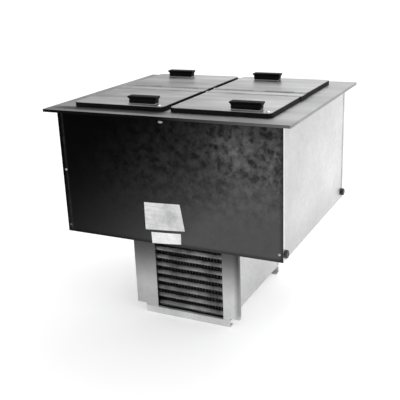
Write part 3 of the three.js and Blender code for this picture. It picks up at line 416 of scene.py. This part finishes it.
strip_steel = brushed_steel("hinge_strip_steel", greys(0.50, 0.72), (0.28, 0.42), smears=9.0)
pin_steel = brushed_steel("hinge_pin_steel", greys(0.30, 0.50), (0.20, 0.30), smears=30.0)
for side in SIDES:
    dress(strip_steel, f"{side}_hinge_strip")
    dress(pin_steel, *[f"{side}_{end}_hinge_pin" for end in ENDS])
    low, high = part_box(f"{side}_hinge_strip")
    left_end_name, right_end_name = ("inner", "outer") if side == "right" else ("outer", "inner")
    for end_name, outward, face in ((left_end_name, -1, low.x), (right_end_name, 1, high.x)):
        reach = sorted((face + outward * CAP_REACH, face + outward * (CAP_REACH + CAP_THICK)))
        cap = slab(f"{side}_strip_{end_name}_cap",
                   (reach[0], low.y + CAP_SIDE_INSET, low.z + CAP_LOW_INSET),
                   (reach[1], high.y - CAP_SIDE_INSET, high.z - CAP_HIGH_INSET), CAP_BEVEL)
        cap.data.materials.append(trim_vinyl)
        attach(cap, f"{side}_lid_set")


# Handles: black moulded pulls, waisted for the fingers, flared toward the top and ribbed on the lip.
# Each stands on a thin stainless foot plate on the lid's skin.
HANDLE_WAIST = [  # half width and height, as shares of the pull's own
    (0.90, 0.0), (1.0, 0.07), (1.0, 0.17), (0.76, 0.29), (0.62, 0.44), (0.60, 0.56),
    (0.68, 0.69), (0.92, 0.79), (1.0, 0.85), (1.0, 0.94), (0.91, 1.0)]
HANDLE_STATIONS = 65
HANDLE_BASE_SHARE = 42.0 / 48.0
RIB_DEPTH, RIB_ABOVE = 0.7 * MM, 0.8
END_ROUND = 1.2 * MM
FOOT_SHEET, FOOT_MARGIN, FOOT_BEVEL = 0.8 * MM, 1.5 * MM, 0.2 * MM
SEAT_GAP = 0.3 * MM


def handle_points(low, high):
    """Rings of points round the handle's waist, one ring for each station along it."""
    middle = (low + high) / 2
    half_long, half_wide = (high.x - low.x) / 2, (high.y - low.y) / 2
    base = low.z + FOOT_SHEET
    tall = high.z - base
    loop = HANDLE_WAIST + [(-wide, up) for wide, up in reversed(HANDLE_WAIST)]
    rings = []
    for station in range(HANDLE_STATIONS):
        along = 2.0 * station / (HANDLE_STATIONS - 1) - 1.0
        at_end = station in (0, HANDLE_STATIONS - 1)
        tuck = END_ROUND if at_end else 0.0
        ring = []
        for wide, up in loop:
            rib = RIB_DEPTH if up > RIB_ABOVE and station % 2 and not at_end else 0.0
            reach = half_long * (HANDLE_BASE_SHARE + (1.0 - HANDLE_BASE_SHARE) * up)
            aside = math.copysign(max(abs(wide) * half_wide - rib - tuck, 0.0), wide)
            lowered = rib + tuck if up > 0.5 else -tuck * (1.0 - up)
            ring.append((middle.x + along * reach, middle.y + aside, base + up * tall - lowered))
        rings.append(ring)
    return rings


def lofted(name, rings):
    """A closed skin over rings of points, capped at both ends."""
    count = len(rings[0])
    points = [p for ring in rings for p in ring]
    faces = []
    for k in range(len(rings) - 1):
        for i in range(count):
            j = (i + 1) % count
            faces.append((k * count + i, k * count + j, (k + 1) * count + j, (k + 1) * count + i))
    faces.append(tuple(reversed(range(count))))
    faces.append(tuple((len(rings) - 1) * count + i for i in range(count)))
    made = mesh_object(name, points, faces)
    shell = bmesh.new()
    shell.from_mesh(made.data)
    bmesh.ops.recalc_face_normals(shell, faces=shell.faces)
    shell.to_mesh(made.data)
    shell.free()
    return made


handle_black = moulded("handle_black", greys(0.0012, 0.005), (0.42, 0.6), stipple=500.0, shine=0.09)
foot_steel = brushed_steel("handle_foot_steel", greys(0.5, 0.75), (0.28, 0.42), smears=20.0)
for leaf in LEAVES:
    low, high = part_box(f"{leaf}_handle")
    handle = lofted(f"{leaf}_pull", handle_points(low, high))
    handle.data.materials.append(handle_black)
    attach(handle, leaf)
    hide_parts(f"{leaf}_handle")
    half_foot = (high.x - low.x) / 2 * HANDLE_BASE_SHARE + FOOT_MARGIN
    centre = (low.x + high.x) / 2
    foot = slab(f"{leaf}_pull_foot",
                (centre - half_foot, low.y - FOOT_MARGIN, low.z - SEAT_GAP / 2),
                (centre + half_foot, high.y + FOOT_MARGIN, low.z + FOOT_SHEET), FOOT_BEVEL)
    foot.data.materials.append(foot_steel)
    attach(foot, leaf)


# Lid studs: one small domed stud near the front right corner of each front leaf. They are bright
# stainless, pin the skin to the trim and catch the light.
STUD_RADIUS, STUD_HEIGHT = 6.0 * MM, 3.0 * MM
STUD_FRONT_INSET = 13.0 * MM
STUD_SIDE_INSETS = {"left": 20.0 * MM, "right": 13.0 * MM}


def turned_mesh(profile, place, axis, sides, oval=1.0):
    """Points and faces of a turned piece: profile points are (radius, distance along the axis)."""
    turn = Vector((0, 0, 1)).rotation_difference(Vector(axis)).to_matrix()
    points, faces, rings = [], [], []
    for radius, along in profile:
        ring = []
        steps = 1 if radius == 0 else sides
        for i in range(steps):
            angle = 2 * math.pi * i / sides
            local = Vector((oval * radius * math.cos(angle), radius * math.sin(angle), along))
            ring.append(len(points))
            points.append(Vector(place) + turn @ local)
        rings.append(ring)
    for first, second in zip(rings, rings[1:]):
        for i in range(sides):
            a, b = first[i % len(first)], first[(i + 1) % len(first)]
            c, d = second[(i + 1) % len(second)], second[i % len(second)]
            faces.append(tuple(dict.fromkeys((a, b, c, d))))
    return points, faces


def turned(name, profile, place, axis, oval=1.0, sides=28):
    """A smooth turned piece, which may be oval."""
    return mesh_object(name, *turned_mesh(profile, place, axis, sides, oval), smooth=True)


def dome(radius, height, steps=5):
    """The profile of a low domed head, from its rim to its top."""
    turn = [math.pi / 2 * i / steps for i in range(steps + 1)]
    arc = [(radius * math.cos(a), height * math.sin(a)) for a in turn[:-1]]
    return [(0.0, 0.0)] + arc + [(0.0, height)]


stud_steel = brushed_steel("stud_steel", greys(0.75, 0.95), (0.12, 0.22), smears=60.0)
for side in SIDES:
    low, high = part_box(f"{side}_front_leaf_skin")
    place = (high.x - STUD_SIDE_INSETS[side], low.y + STUD_FRONT_INSET,
             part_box("left_front_leaf_handle")[0].z - SEAT_GAP)
    stud = turned(f"{side}_front_leaf_stud", dome(STUD_RADIUS, STUD_HEIGHT), place, (0, 0, 1))
    stud.data.materials.append(stud_steel)
    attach(stud, f"{side}_front_leaf")


# Gasket: a band of black foam rubber, stuck under the overhanging flange. It seals the cabinet
# to the counter that it hangs in.
gasket_rubber = moulded("gasket_rubber", greys(0.012, 0.03), (0.7, 0.9), stipple=1500.0, relief_depth=0.0003)
dress(gasket_rubber, "counter_gasket")


# Side, rear and floor panels: pale zinc coated sheet with a fine spangle. On the sides, painted light
# makes them lighter toward the rear, a painted highlight runs along the fold beside the front panel, and
# painted shade darkens their lower edges.
SPANGLE_WANDER, SPANGLE_SHIFT = 60.0, 0.012
STAIN_EDGES = (0.35, 0.68)
CRYSTAL_STRENGTH, CRYSTAL_HEIGHT = 0.05, 0.0002
SIDE_FRONT_LIGHT, SIDE_REAR_LIGHT = 0.84, 1.06
SIDE_FOLD_HIGHLIGHT, SIDE_HIGHLIGHT_FROM, SIDE_HIGHLIGHT_TO = 1.16, 0.004, 0.014
LOW_SHADE_SHARE, LOW_SHADE_TALL = 0.84, 0.12


def spangle_effect():
    """The crystals of a zinc coat, each with its own tone, under slow cloudy stains."""
    tree, given, out = effect(
        "zinc_spangle",
        [("Crystal Scale", "NodeSocketFloat", 120.0), ("Stain Scale", "NodeSocketFloat", 5.0)],
        ("Crystal", "Stain"))
    place = spot_of(tree)
    wander = add(tree, "ShaderNodeTexNoise", {"Vector": place, "Scale": SPANGLE_WANDER, "Detail": 2.0})
    shift = add(tree, "ShaderNodeVectorMath", {0: wander.outputs["Color"], "Scale": SPANGLE_SHIFT},
                operation="SCALE")
    moved = add(tree, "ShaderNodeVectorMath", {0: place, 1: shift.outputs[0]}, operation="ADD")
    cells = add(tree, "ShaderNodeTexVoronoi", {"Vector": moved.outputs[0], "Scale": given["Crystal Scale"]})
    crystal = add(tree, "ShaderNodeSeparateColor", {0: cells.outputs["Color"]}).outputs[0]
    stain = noise(tree, place, given["Stain Scale"], detail=7.0, roughness=0.62)
    feed(tree, out, {"Crystal": crystal, "Stain": ranged(tree, stain, *STAIN_EDGES)})
    return tree


zinc_spangle = spangle_effect()


def zinc_finish(name, tones, rough, crystal=120.0, stain=5.0, crystal_share=0.35):
    """Zinc coated sheet: crystals and stains set its tone and its gloss, the crystals its relief."""
    material, tree, shader = blank_material(name)
    look = add(tree, "ShaderNodeGroup", {"Crystal Scale": crystal, "Stain Scale": stain},
               node_tree=zinc_spangle).outputs
    mask = mixed(tree, crystal_share, look["Stain"], look["Crystal"], "FLOAT")
    tone = mixed(tree, mask, *tones)
    feed(tree, shader, {
        "Base Color": tone, "Metallic": 1.0,
        "Roughness": ranged(tree, mask, 0.0, 1.0, *rough),
        "Normal": bump(tree, look["Crystal"], CRYSTAL_HEIGHT, CRYSTAL_STRENGTH)})
    return Finish(material, tree, shader, tone, mask)


panel_low, panel_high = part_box("front_panel")
rear_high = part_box("rear_panel")[1]
pale_zinc = zinc_finish("pale_zinc", greys(0.58, 0.78), (0.38, 0.55)).material
dress(pale_zinc, "rear_panel", "floor_panel")
side_zinc = zinc_finish("side_zinc", greys(0.57, 0.79), (0.38, 0.55))
tree = side_zinc.tree
spot = split(tree, spot_of(tree))
# Painted light and shade on the sides: lighter toward the rear, a highlight by the front fold, shade low
# down.
toward_rear_light = ranged(tree, spot["Y"], panel_low.y, rear_high.y, SIDE_FRONT_LIGHT, SIDE_REAR_LIGHT)
side_fold_highlight = ranged(
    tree, spot["Y"], panel_low.y + SIDE_HIGHLIGHT_FROM, panel_low.y + SIDE_HIGHLIGHT_TO, SIDE_FOLD_HIGHLIGHT, 1.0, "SMOOTHSTEP")
low_shade = ranged(
    tree, spot["Z"], panel_low.z, panel_low.z + LOW_SHADE_TALL, LOW_SHADE_SHARE, 1.0, "SMOOTHSTEP")
shaded(side_zinc, calc(tree, "MULTIPLY", toward_rear_light, side_fold_highlight, low_shade))
dress(side_zinc.material, "left_side_panel", "right_side_panel")


# Front panel: zinc coated sheet, near black at its upper left. A painted reflection lightens it to mid
# grey at its lower right and is mottled high on the right, with one pale patch of painted reflection there.
# A faint painted highlight runs down a fold line on its left side, and painted shade darkens its bottom
# and right edges. Its two folded side edges are painted a pale zinc tone for the light from the side.
# The sheet's near black tone, and the grey that its painted reflection lightens it toward.
DARK_COAT, REFLECTION_GREY = greys(0.0008, 0.17)
# A pale tone painted on the folded side edges, for the light that falls on them from the side.
SIDE_LIT_TONE = grey(0.68)
# The slant, reach and strength of the painted reflection, its pale patch, and the fold line's highlight.
REFLECTION_ACROSS, REFLECTION_DOWN = 1.25, 0.75
REFLECTION_FROM, REFLECTION_TO, REFLECTION_RISE, REFLECTION_DEPTH = 0.14, 1.44, 2.7, 0.5
MOTTLE_HIGH, MOTTLE_LOW = 0.72, 0.12
MOTTLE_FROM, MOTTLE_TO = 0.2, 0.85
MASK_FROM, MASK_TO = 0.15, 0.85
PATCH_SHARES, PATCH_RADIUS, PATCH_DEPTH = (0.80, 0.42), 0.10, 0.5
CREASE_HIGHLIGHT_AT, CREASE_HIGHLIGHT_WIDTH, CREASE_HIGHLIGHT_DEPTH = 0.021, 0.009, 0.16
# Where painted shade darkens the bottom and right edges, and how dark it makes them.
BOTTOM_SHADE_FROM, BOTTOM_SHADE_TO, RIGHT_SHADE_FROM, EDGE_SHADE_SHARE = 0.965, 0.99, 0.978, 0.55
SIDE_FACING = 0.7


def on_front(share_x, share_z, proud=0.0):
    """A point on the front panel's face, from shares of its width."""
    wide = panel_high.x - panel_low.x
    return Vector((panel_low.x + share_x * wide, panel_low.y - proud, panel_low.z + share_z * wide))


front_coat = zinc_finish("front_coat", (DARK_COAT, REFLECTION_GREY), (0.40, 0.6),
                         crystal=85.0, stain=44.0, crystal_share=0.30)
tree, mask = front_coat.tree, front_coat.mask
place = spot_of(tree)
spot = split(tree, place)
across = ranged(tree, spot["X"], panel_low.x, panel_high.x)
down = ranged(tree, spot["Z"], panel_high.z, panel_low.z)
# Painted reflection: lighter from the upper left toward the lower right, mottled where it is high.
slant = calc(
    tree, "ADD", calc(tree, "MULTIPLY", across, REFLECTION_ACROSS), calc(tree, "MULTIPLY", down, REFLECTION_DOWN))
painted_reflection = calc(tree, "POWER", ranged(tree, slant, REFLECTION_FROM, REFLECTION_TO), REFLECTION_RISE)
depth = ranged(tree, down, MOTTLE_FROM, MOTTLE_TO, MOTTLE_HIGH, MOTTLE_LOW, "SMOOTHSTEP")
either_way = ranged(tree, mask, MASK_FROM, MASK_TO, -1.0, 1.0)
mottle = calc(tree, "ADD", calc(tree, "MULTIPLY", either_way, depth), 1.0)
# A pale patch of painted reflection high on the right, and a painted highlight along the fold line.
apart = add(tree, "ShaderNodeVectorMath", {0: place, 1: on_front(*PATCH_SHARES)}, operation="DISTANCE")
reflection_patch = ranged(tree, apart.outputs["Value"], 0.0, PATCH_RADIUS, PATCH_DEPTH, 0.0, "SMOOTHSTEP")
crease_highlight = ranged(tree, off_by(tree, across, CREASE_HIGHLIGHT_AT), 0.0, CREASE_HIGHLIGHT_WIDTH, CREASE_HIGHLIGHT_DEPTH, 0.0, "SMOOTHSTEP")
mottled_painted_light = calc(tree, "ADD", calc(tree, "MULTIPLY", painted_reflection, mottle, REFLECTION_DEPTH),
            calc(tree, "MULTIPLY", reflection_patch, mask), calc(tree, "MULTIPLY", crease_highlight, mask))
# Painted shade along the panel's bottom edge and its right edge.
bottom_shade = ranged(tree, down, BOTTOM_SHADE_FROM, BOTTOM_SHADE_TO, 1.0, EDGE_SHADE_SHARE, "SMOOTHSTEP")
right_edge_shade = ranged(tree, across, RIGHT_SHADE_FROM, 1.0, 1.0, EDGE_SHADE_SHARE, "SMOOTHSTEP")
painted = mixed(tree, calc(tree, "MULTIPLY", mottled_painted_light, bottom_shade, right_edge_shade), DARK_COAT, REFLECTION_GREY)
# Faces that turn to the side, the folded edges, take the pale painted tone for the light from the side.
facing = split(tree, add(tree, "ShaderNodeTexCoord").outputs["Normal"])
side_lit_faces = calc(tree, "GREATER_THAN", calc(tree, "ABSOLUTE", facing["X"]), SIDE_FACING)
feed(tree, front_coat.shader, {"Base Color": mixed(tree, side_lit_faces, painted, SIDE_LIT_TONE)})
dress(front_coat.material, "front_panel")


# Rivets: five domed heads on the front panel, an oval one high in the middle and two down each side.
# Three are bright, and two are a darker copy of the same steel as painted shade. The rear panel has
# four bright ones down its sides.
RIVET_RADIUS, RIVET_HEIGHT = 4.1 * MM, 1.6 * MM
bright_rivet = brushed_steel("bright_rivet_steel", greys(0.34, 0.60), (0.28, 0.42), smears=60.0)
# A darker copy of the rivet steel: painted shade on two of the front rivets.
shaded_rivet = brushed_steel("shaded_rivet_steel", greys(0.06, 0.22), (0.35, 0.5), smears=60.0)
FRONT_RIVETS = [  # place in shares of the panel's width, steel, and how oval the head is
    ((0.493, 0.52), bright_rivet, 1.9),
    ((0.018, 0.283), bright_rivet, 1.0),
    ((0.984, 0.032), bright_rivet, 1.0),
    ((0.015, 0.031), shaded_rivet, 1.0),
    ((0.979, 0.285), shaded_rivet, 1.0)]
head = dome(RIVET_RADIUS, RIVET_HEIGHT)
for number, (shares, steel, oval) in enumerate(FRONT_RIVETS):
    rivet = turned(f"front_rivet_{number}", head, on_front(*shares), (0, -1, 0), oval)
    rivet.data.materials.append(steel)
    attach(rivet, "cabinet")
    if number > 0:
        behind = on_front(*shares)
        behind.y = rear_high.y
        rivet = turned(f"rear_rivet_{number}", head, behind, (0, 1, 0))
        rivet.data.materials.append(bright_rivet)
        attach(rivet, "cabinet")


# Plates: two bare foil plates stuck low on the front panel, slightly skewed and lifting at their edges.
# They are plain but for faint ruled lines and a little grime.
PLATES = [  # name, clean and ruled tone, scale of the rules, corners in shares of the panel's width
    ("upper_plate", greys(0.78, 0.30), 22.0,
     ((0.396, 0.059), (0.580, 0.073), (0.561, 0.186), (0.396, 0.178))),
    ("lower_plate", greys(0.95, 0.60), 30.0,
     ((0.424, 0.001), (0.560, 0.013), (0.560, 0.059), (0.422, 0.050)))]
PLATE_STEPS = 14
PLATE_SHEET, PLATE_LIFT = 0.4 * MM, 1.6 * MM
PLATE_ARCH, PLATE_CURL = 0.5, 0.5
RULE_WANDER, RULE_FROM, RULE_DEPTH = 0.6, 0.9, 0.5
FOIL_ROUGHNESS = 0.45


def plate_mesh(name, corners, lift):
    """A thin bulged sheet between four corners on the front panel."""
    low_left, low_right, high_right, high_left = [Vector(corner) for corner in corners]
    front, back = [], []
    for row in range(PLATE_STEPS + 1):
        v = row / PLATE_STEPS
        for column in range(PLATE_STEPS + 1):
            u = column / PLATE_STEPS
            x, z = low_left.lerp(high_left, v).lerp(low_right.lerp(high_right, v), u)
            bulge = lift * (math.sin(math.pi * u) * PLATE_ARCH + PLATE_CURL * (1 - v) ** 2 * u)
            front.append(on_front(x, z, SEAT_GAP / 2 + PLATE_SHEET + bulge))
            back.append(on_front(x, z, SEAT_GAP / 2 + bulge))
    size = PLATE_STEPS + 1
    count = len(front)
    faces = []
    for row in range(PLATE_STEPS):
        for column in range(PLATE_STEPS):
            a = row * size + column
            faces.append((a, a + 1, a + size + 1, a + size))
            faces.append((count + a, count + a + size, count + a + size + 1, count + a + 1))
    rim = list(range(size)) + [r * size + PLATE_STEPS for r in range(1, size)]
    rim += [PLATE_STEPS * size + c for c in range(PLATE_STEPS - 1, -1, -1)]
    rim += [r * size for r in range(PLATE_STEPS - 1, 0, -1)]
    for a, b in zip(rim, rim[1:] + rim[:1]):
        faces.append((a, count + a, count + b, b))
    return mesh_object(name, front + back, faces)


def plate_foil(name, tones, rule_scale):
    """Off-white foil, with its rules and its grime in the second tone."""
    material, tree, shader = blank_material(name)
    look = add(tree, "ShaderNodeGroup", node_tree=moulded_stipple).outputs
    rules = add(tree, "ShaderNodeTexWave", {
        "Vector": spot_of(tree), "Scale": rule_scale, "Distortion": RULE_WANDER},
        wave_type="BANDS", bands_direction="Z").outputs[1]
    thin = ranged(tree, rules, RULE_FROM, 1.0, 0.0, RULE_DEPTH)
    grime = calc(tree, "MAXIMUM", look["Dust"], thin)
    feed(tree, shader, {"Base Color": mixed(tree, grime, *tones), "Roughness": FOIL_ROUGHNESS})
    return material


for name, tones, rule_scale, corners in PLATES:
    plate = plate_mesh(name, corners, PLATE_LIFT)
    plate.data.materials.append(plate_foil(f"{name}_foil", tones, rule_scale))
    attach(plate, "cabinet")


# Plugs: round black moulded plugs with softly rounded faces and a shallow dimple. They are pushed
# into the right side near its low corners.
PLUG_PROFILE = [  # radius and height, as shares of the plug's own
    (0.0, 0.0), (0.96, 0.0), (1.0, 0.06), (1.0, 0.62), (0.97, 0.80), (0.90, 0.93), (0.78, 1.0),
    (0.30, 1.0), (0.24, 0.90), (0.0, 0.88)]
plug_black = moulded("plug_black", greys(0.008, 0.03), (0.35, 0.6))
for end in ENDS:
    name = f"right_{end}_plug"
    low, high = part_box(name)
    radius, tall = (high.z - low.z) / 2, high.x - low.x
    profile = [(wide * radius, up * tall) for wide, up in PLUG_PROFILE]
    plug = turned(f"{name}_cap", profile, (low.x, (low.y + high.y) / 2, (low.z + high.z) / 2), (1, 0, 0))
    plug.data.materials.append(plug_black)
    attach(plug, "cabinet")
    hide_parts(name)


# Inside of the chest: a white moulded breaker collar lines both openings and stands on a stainless
# tank. Foam is cast round the tank, and the copper evaporator tube is wound round it in the foam.
FOAM_TONES = ((0.62, 0.50, 0.26, 1.0), (0.78, 0.68, 0.42, 1.0))
FOAM_CELLS, FOAM_CLOUDS, FOAM_ROUGHNESS = 420.0, 9.0, 0.95
FOAM_STRENGTH, FOAM_PITS = 0.5, 0.0008
COPPER_TONES = ((0.42, 0.17, 0.08, 1.0), (0.80, 0.40, 0.24, 1.0))
UP_THE_WALL = (900.0, 900.0, 5.0)


def foam_block(name):
    """Cast foam: cells of many sizes in a dull straw colour."""
    material, tree, shader = blank_material(name)
    place = spot_of(tree)
    cells = add(tree, "ShaderNodeTexVoronoi", {"Vector": place, "Scale": FOAM_CELLS}).outputs[0]
    feed(tree, shader, {
        "Base Color": mixed(tree, noise(tree, place, FOAM_CLOUDS, detail=5.0), *FOAM_TONES),
        "Normal": bump(tree, cells, FOAM_PITS, FOAM_STRENGTH),
        "Roughness": FOAM_ROUGHNESS})
    return material


copper = brushed_steel("copper_tube", COPPER_TONES, (0.25, 0.45), smears=25.0)
tank_steel = brushed_steel("tank_steel", greys(0.45, 0.72), (0.28, 0.45), UP_THE_WALL, 7.0)
dress(moulded("collar_white", greys(0.70, 0.58), (0.25, 0.45)), "opening_collar")
dress(tank_steel, "tank_liner")
dress(foam_block("cast_foam"), "tank_insulation")
dress(copper, "evaporator_coil")


# Machine housing: a plated front frame with a grille of rolled louvres, zinc side walls and back,
# all on a low base frame of two channel rails under a pan. Four hexagonal screws hold the back.
# Painted shade darkens the frame toward its top and along its right fold, painted light brightens it
# toward its right, and the louvres are a darker zinc as painted shade of their recess.
FRAME_SHADE_FROM, FRAME_SHADE_TO, FRAME_TOP_SHADE = 0.18, 0.86, 0.15
FRAME_FOLD, FRAME_FOLD_SHADE = 0.022, 0.45
FRAME_LEFT_LIGHT, FRAME_RIGHT_LIGHT = 0.80, 1.12
BASE_METAL = 0.6
SCREW_INSET = 7.0 * MM
SCREW_WASHER = [(0.0, 0.0), (4.6 * MM, 0.0), (4.6 * MM, 0.5 * MM), (3.9 * MM, 1.0 * MM), (0.0, 1.0 * MM)]
SCREW_HEX = [
    (0.0, 1.0 * MM), (3.4 * MM, 1.0 * MM), (3.4 * MM, 3.2 * MM), (2.9 * MM, 3.7 * MM), (0.0, 3.7 * MM)]
WASHER_SIDES, HEX_SIDES = 24, 6

frame_low, frame_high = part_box("housing_front_frame")
frame_plate = zinc_finish("frame_plate", greys(0.46, 0.68), (0.34, 0.5),
                          crystal=260.0, stain=6.0, crystal_share=0.2)
tree = frame_plate.tree
spot = split(tree, spot_of(tree))
frame_tall = frame_high.z - frame_low.z
shade_start, shade_end = [frame_low.z + share * frame_tall for share in (FRAME_SHADE_FROM, FRAME_SHADE_TO)]
# Painted shade toward the frame's top, and painted light toward its right.
frame_top_shade = ranged(tree, spot["Z"], shade_start, shade_end, 1.0, FRAME_TOP_SHADE, "SMOOTHSTEP")
frame_side_light = ranged(tree, spot["X"], frame_low.x, frame_high.x, FRAME_LEFT_LIGHT, FRAME_RIGHT_LIGHT)
# Painted shade along the frame's right fold, above its lowest part.
fold_shade = ranged(
    tree, spot["X"], frame_high.x - FRAME_FOLD, frame_high.x, 1.0, FRAME_FOLD_SHADE, "SMOOTHSTEP")
unfolded = ranged(tree, spot["Z"], frame_low.z, shade_start, 1.0, 0.0)
frame_fold_shade = calc(tree, "MAXIMUM", fold_shade, unfolded)
shaded(frame_plate, calc(tree, "MULTIPLY", frame_top_shade, frame_side_light, frame_fold_shade))
dress(frame_plate.material, "housing_front_frame")

# A darker copy of the zinc for the louvres: painted shade of their recess behind the frame.
louvre_shaded_zinc = zinc_finish("louvre_shaded_zinc", greys(0.05, 0.36), (0.32, 0.5),
                           crystal=200.0, stain=15.0, crystal_share=0.12)
dress(louvre_shaded_zinc.material, "louvre_grille")
housing_zinc = zinc_finish("housing_zinc", greys(0.44, 0.66), (0.38, 0.55))
dress(housing_zinc.material, "left_housing_wall", "right_housing_wall", "housing_rear_panel")
base_plate = zinc_finish("base_plate", greys(0.54, 0.76), (0.36, 0.55),
                         crystal=240.0, stain=8.0, crystal_share=0.2)
feed(base_plate.tree, base_plate.shader, {"Metallic": BASE_METAL})
dress(base_plate.material, "base_frame")
dress(plug_black, "cord_gland", "thermostat")

low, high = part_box("housing_rear_panel")
points, faces = [], []
for x in (low.x + SCREW_INSET, high.x - SCREW_INSET):
    for z in (low.z + SCREW_INSET, high.z - SCREW_INSET):
        for profile, sides in ((SCREW_WASHER, WASHER_SIDES), (SCREW_HEX, HEX_SIDES)):
            more_points, more_faces = turned_mesh(profile, (x, high.y, z), (0, 1, 0), sides)
            faces += [tuple(len(points) + i for i in face) for face in more_faces]
            points += more_points
screws = mesh_object("rear_panel_screws", points, faces)
screws.data.materials.append(bright_rivet)
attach(screws, "cabinet")


# Thermostat knob: a moulded knob on the thermostat's shaft, outside the left wall of the housing.
# Its grip is fluted for the fingers, and a painted line on its raised pointer shows the setting.
KNOB_SHARES = [  # radius and distance from the wall, as shares of the knob's own
    (0.97, 0.0), (1.0, 0.03), (1.0, 0.20), (0.95, 0.24), (0.75, 0.26), (0.71, 0.30), (0.68, 0.80),
    (0.66, 0.87), (0.58, 0.91), (0.40, 0.90), (0.30, 0.885)]
KNOB_BORE = 3.6 * MM
FLUTES, FLUTE_STEPS, FLUTE_DEPTH = 20, 6, 0.9 * MM
FLUTED_FROM, FLUTED_TO = 0.28, 0.88
POINTER_HALF, POINTER_SHARES, POINTER_SUNK, POINTER_BEVEL = 1.5 * MM, (0.35, 0.85), 2.0 * MM, 0.3 * MM
LINE_HALF, LINE_SHARES, LINE_PAINT, LINE_BEVEL = 0.7 * MM, (0.39, 0.81), 0.25 * MM, 0.05 * MM


def knob_rings(hub, radius, tall, bore_deep):
    """Rings of points round the knob, from the end of its bore, round its skirt and up its grip."""
    profile = [(KNOB_BORE, bore_deep), (KNOB_BORE, 0.0)]
    profile += [(wide * radius, up * tall) for wide, up in KNOB_SHARES]
    count = FLUTES * FLUTE_STEPS
    rings = []
    for reach, along in profile:
        fluted = reach > KNOB_BORE and FLUTED_FROM * tall < along < FLUTED_TO * tall
        ring = []
        for i in range(count):
            angle = 2 * math.pi * i / count
            cut = FLUTE_DEPTH * (1.0 - math.cos(FLUTES * angle)) / 2 if fluted else 0.0
            ring.append((hub.x - along, hub.y + (reach - cut) * math.sin(angle),
                         hub.z + (reach - cut) * math.cos(angle)))
        rings.append(ring)
    return rings


low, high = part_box("thermostat_knob")
shaft_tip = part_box("thermostat")[0].x
hub = Vector((high.x, (low.y + high.y) / 2, (low.z + high.z) / 2))
radius = (high.z - low.z) / 2
knob = lofted("thermostat_knob_grip", knob_rings(hub, radius, high.x - low.x, high.x - shaft_tip + SEAT_GAP))
pointer = slab("thermostat_knob_pointer",
               (low.x + LINE_PAINT, hub.y - POINTER_HALF, hub.z + POINTER_SHARES[0] * radius),
               (hub.x - POINTER_SUNK, hub.y + POINTER_HALF, hub.z + POINTER_SHARES[1] * radius),
               POINTER_BEVEL)
line = slab("thermostat_knob_line",
            (low.x, hub.y - LINE_HALF, hub.z + LINE_SHARES[0] * radius),
            (low.x + LINE_PAINT, hub.y + LINE_HALF, hub.z + LINE_SHARES[1] * radius), LINE_BEVEL)
knob_black = moulded("knob_black", greys(0.008, 0.03), (0.30, 0.5), stipple=700.0)
line_white = moulded("knob_line_white", greys(0.80, 0.62), (0.4, 0.6))
for piece, look in ((knob, knob_black), (pointer, knob_black), (line, line_white)):
    piece.data.materials.append(look)
    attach(piece, "thermostat_dial")
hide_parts("thermostat_knob")


# Refrigeration unit: an aluminium finned condenser with its fan behind it, and a black painted
# compressor on rubber grommets. Copper lines with brazed joints link them to each other, to the drier
# and to the evaporator. The condenser's fins are a dark grey as painted shade inside the housing.
UP_THE_FINS = (900.0, 900.0, 6.0)
# Dark grey fins: painted shade for the inside of the housing, seen through the louvres.
shaded_fin_metal = brushed_steel("shaded_fins", greys(0.08, 0.25), (0.45, 0.6), UP_THE_FINS, 12.0)
blade_metal = brushed_steel("blade_aluminium", greys(0.35, 0.60), (0.35, 0.5), smears=12.0)
shell_paint = moulded("shell_paint", greys(0.008, 0.03), (0.18, 0.4), stipple=700.0)
grommet_rubber = moulded("grommet_rubber", greys(0.01, 0.025), (0.7, 0.9))
dress(shaded_fin_metal, "condenser_coil")
dress(blade_metal, "fan_blade")
dress(pale_zinc, "fan_shroud", "fan_bracket")
dress(shell_paint, "compressor", "fan_motor")
dress(plug_black, "relay_cover")
dress(copper, "suction_line", "discharge_line", "filter_drier_line")
dress(grommet_rubber, *[f"{side}_{end}_grommet" for side in SIDES for end in ENDS])
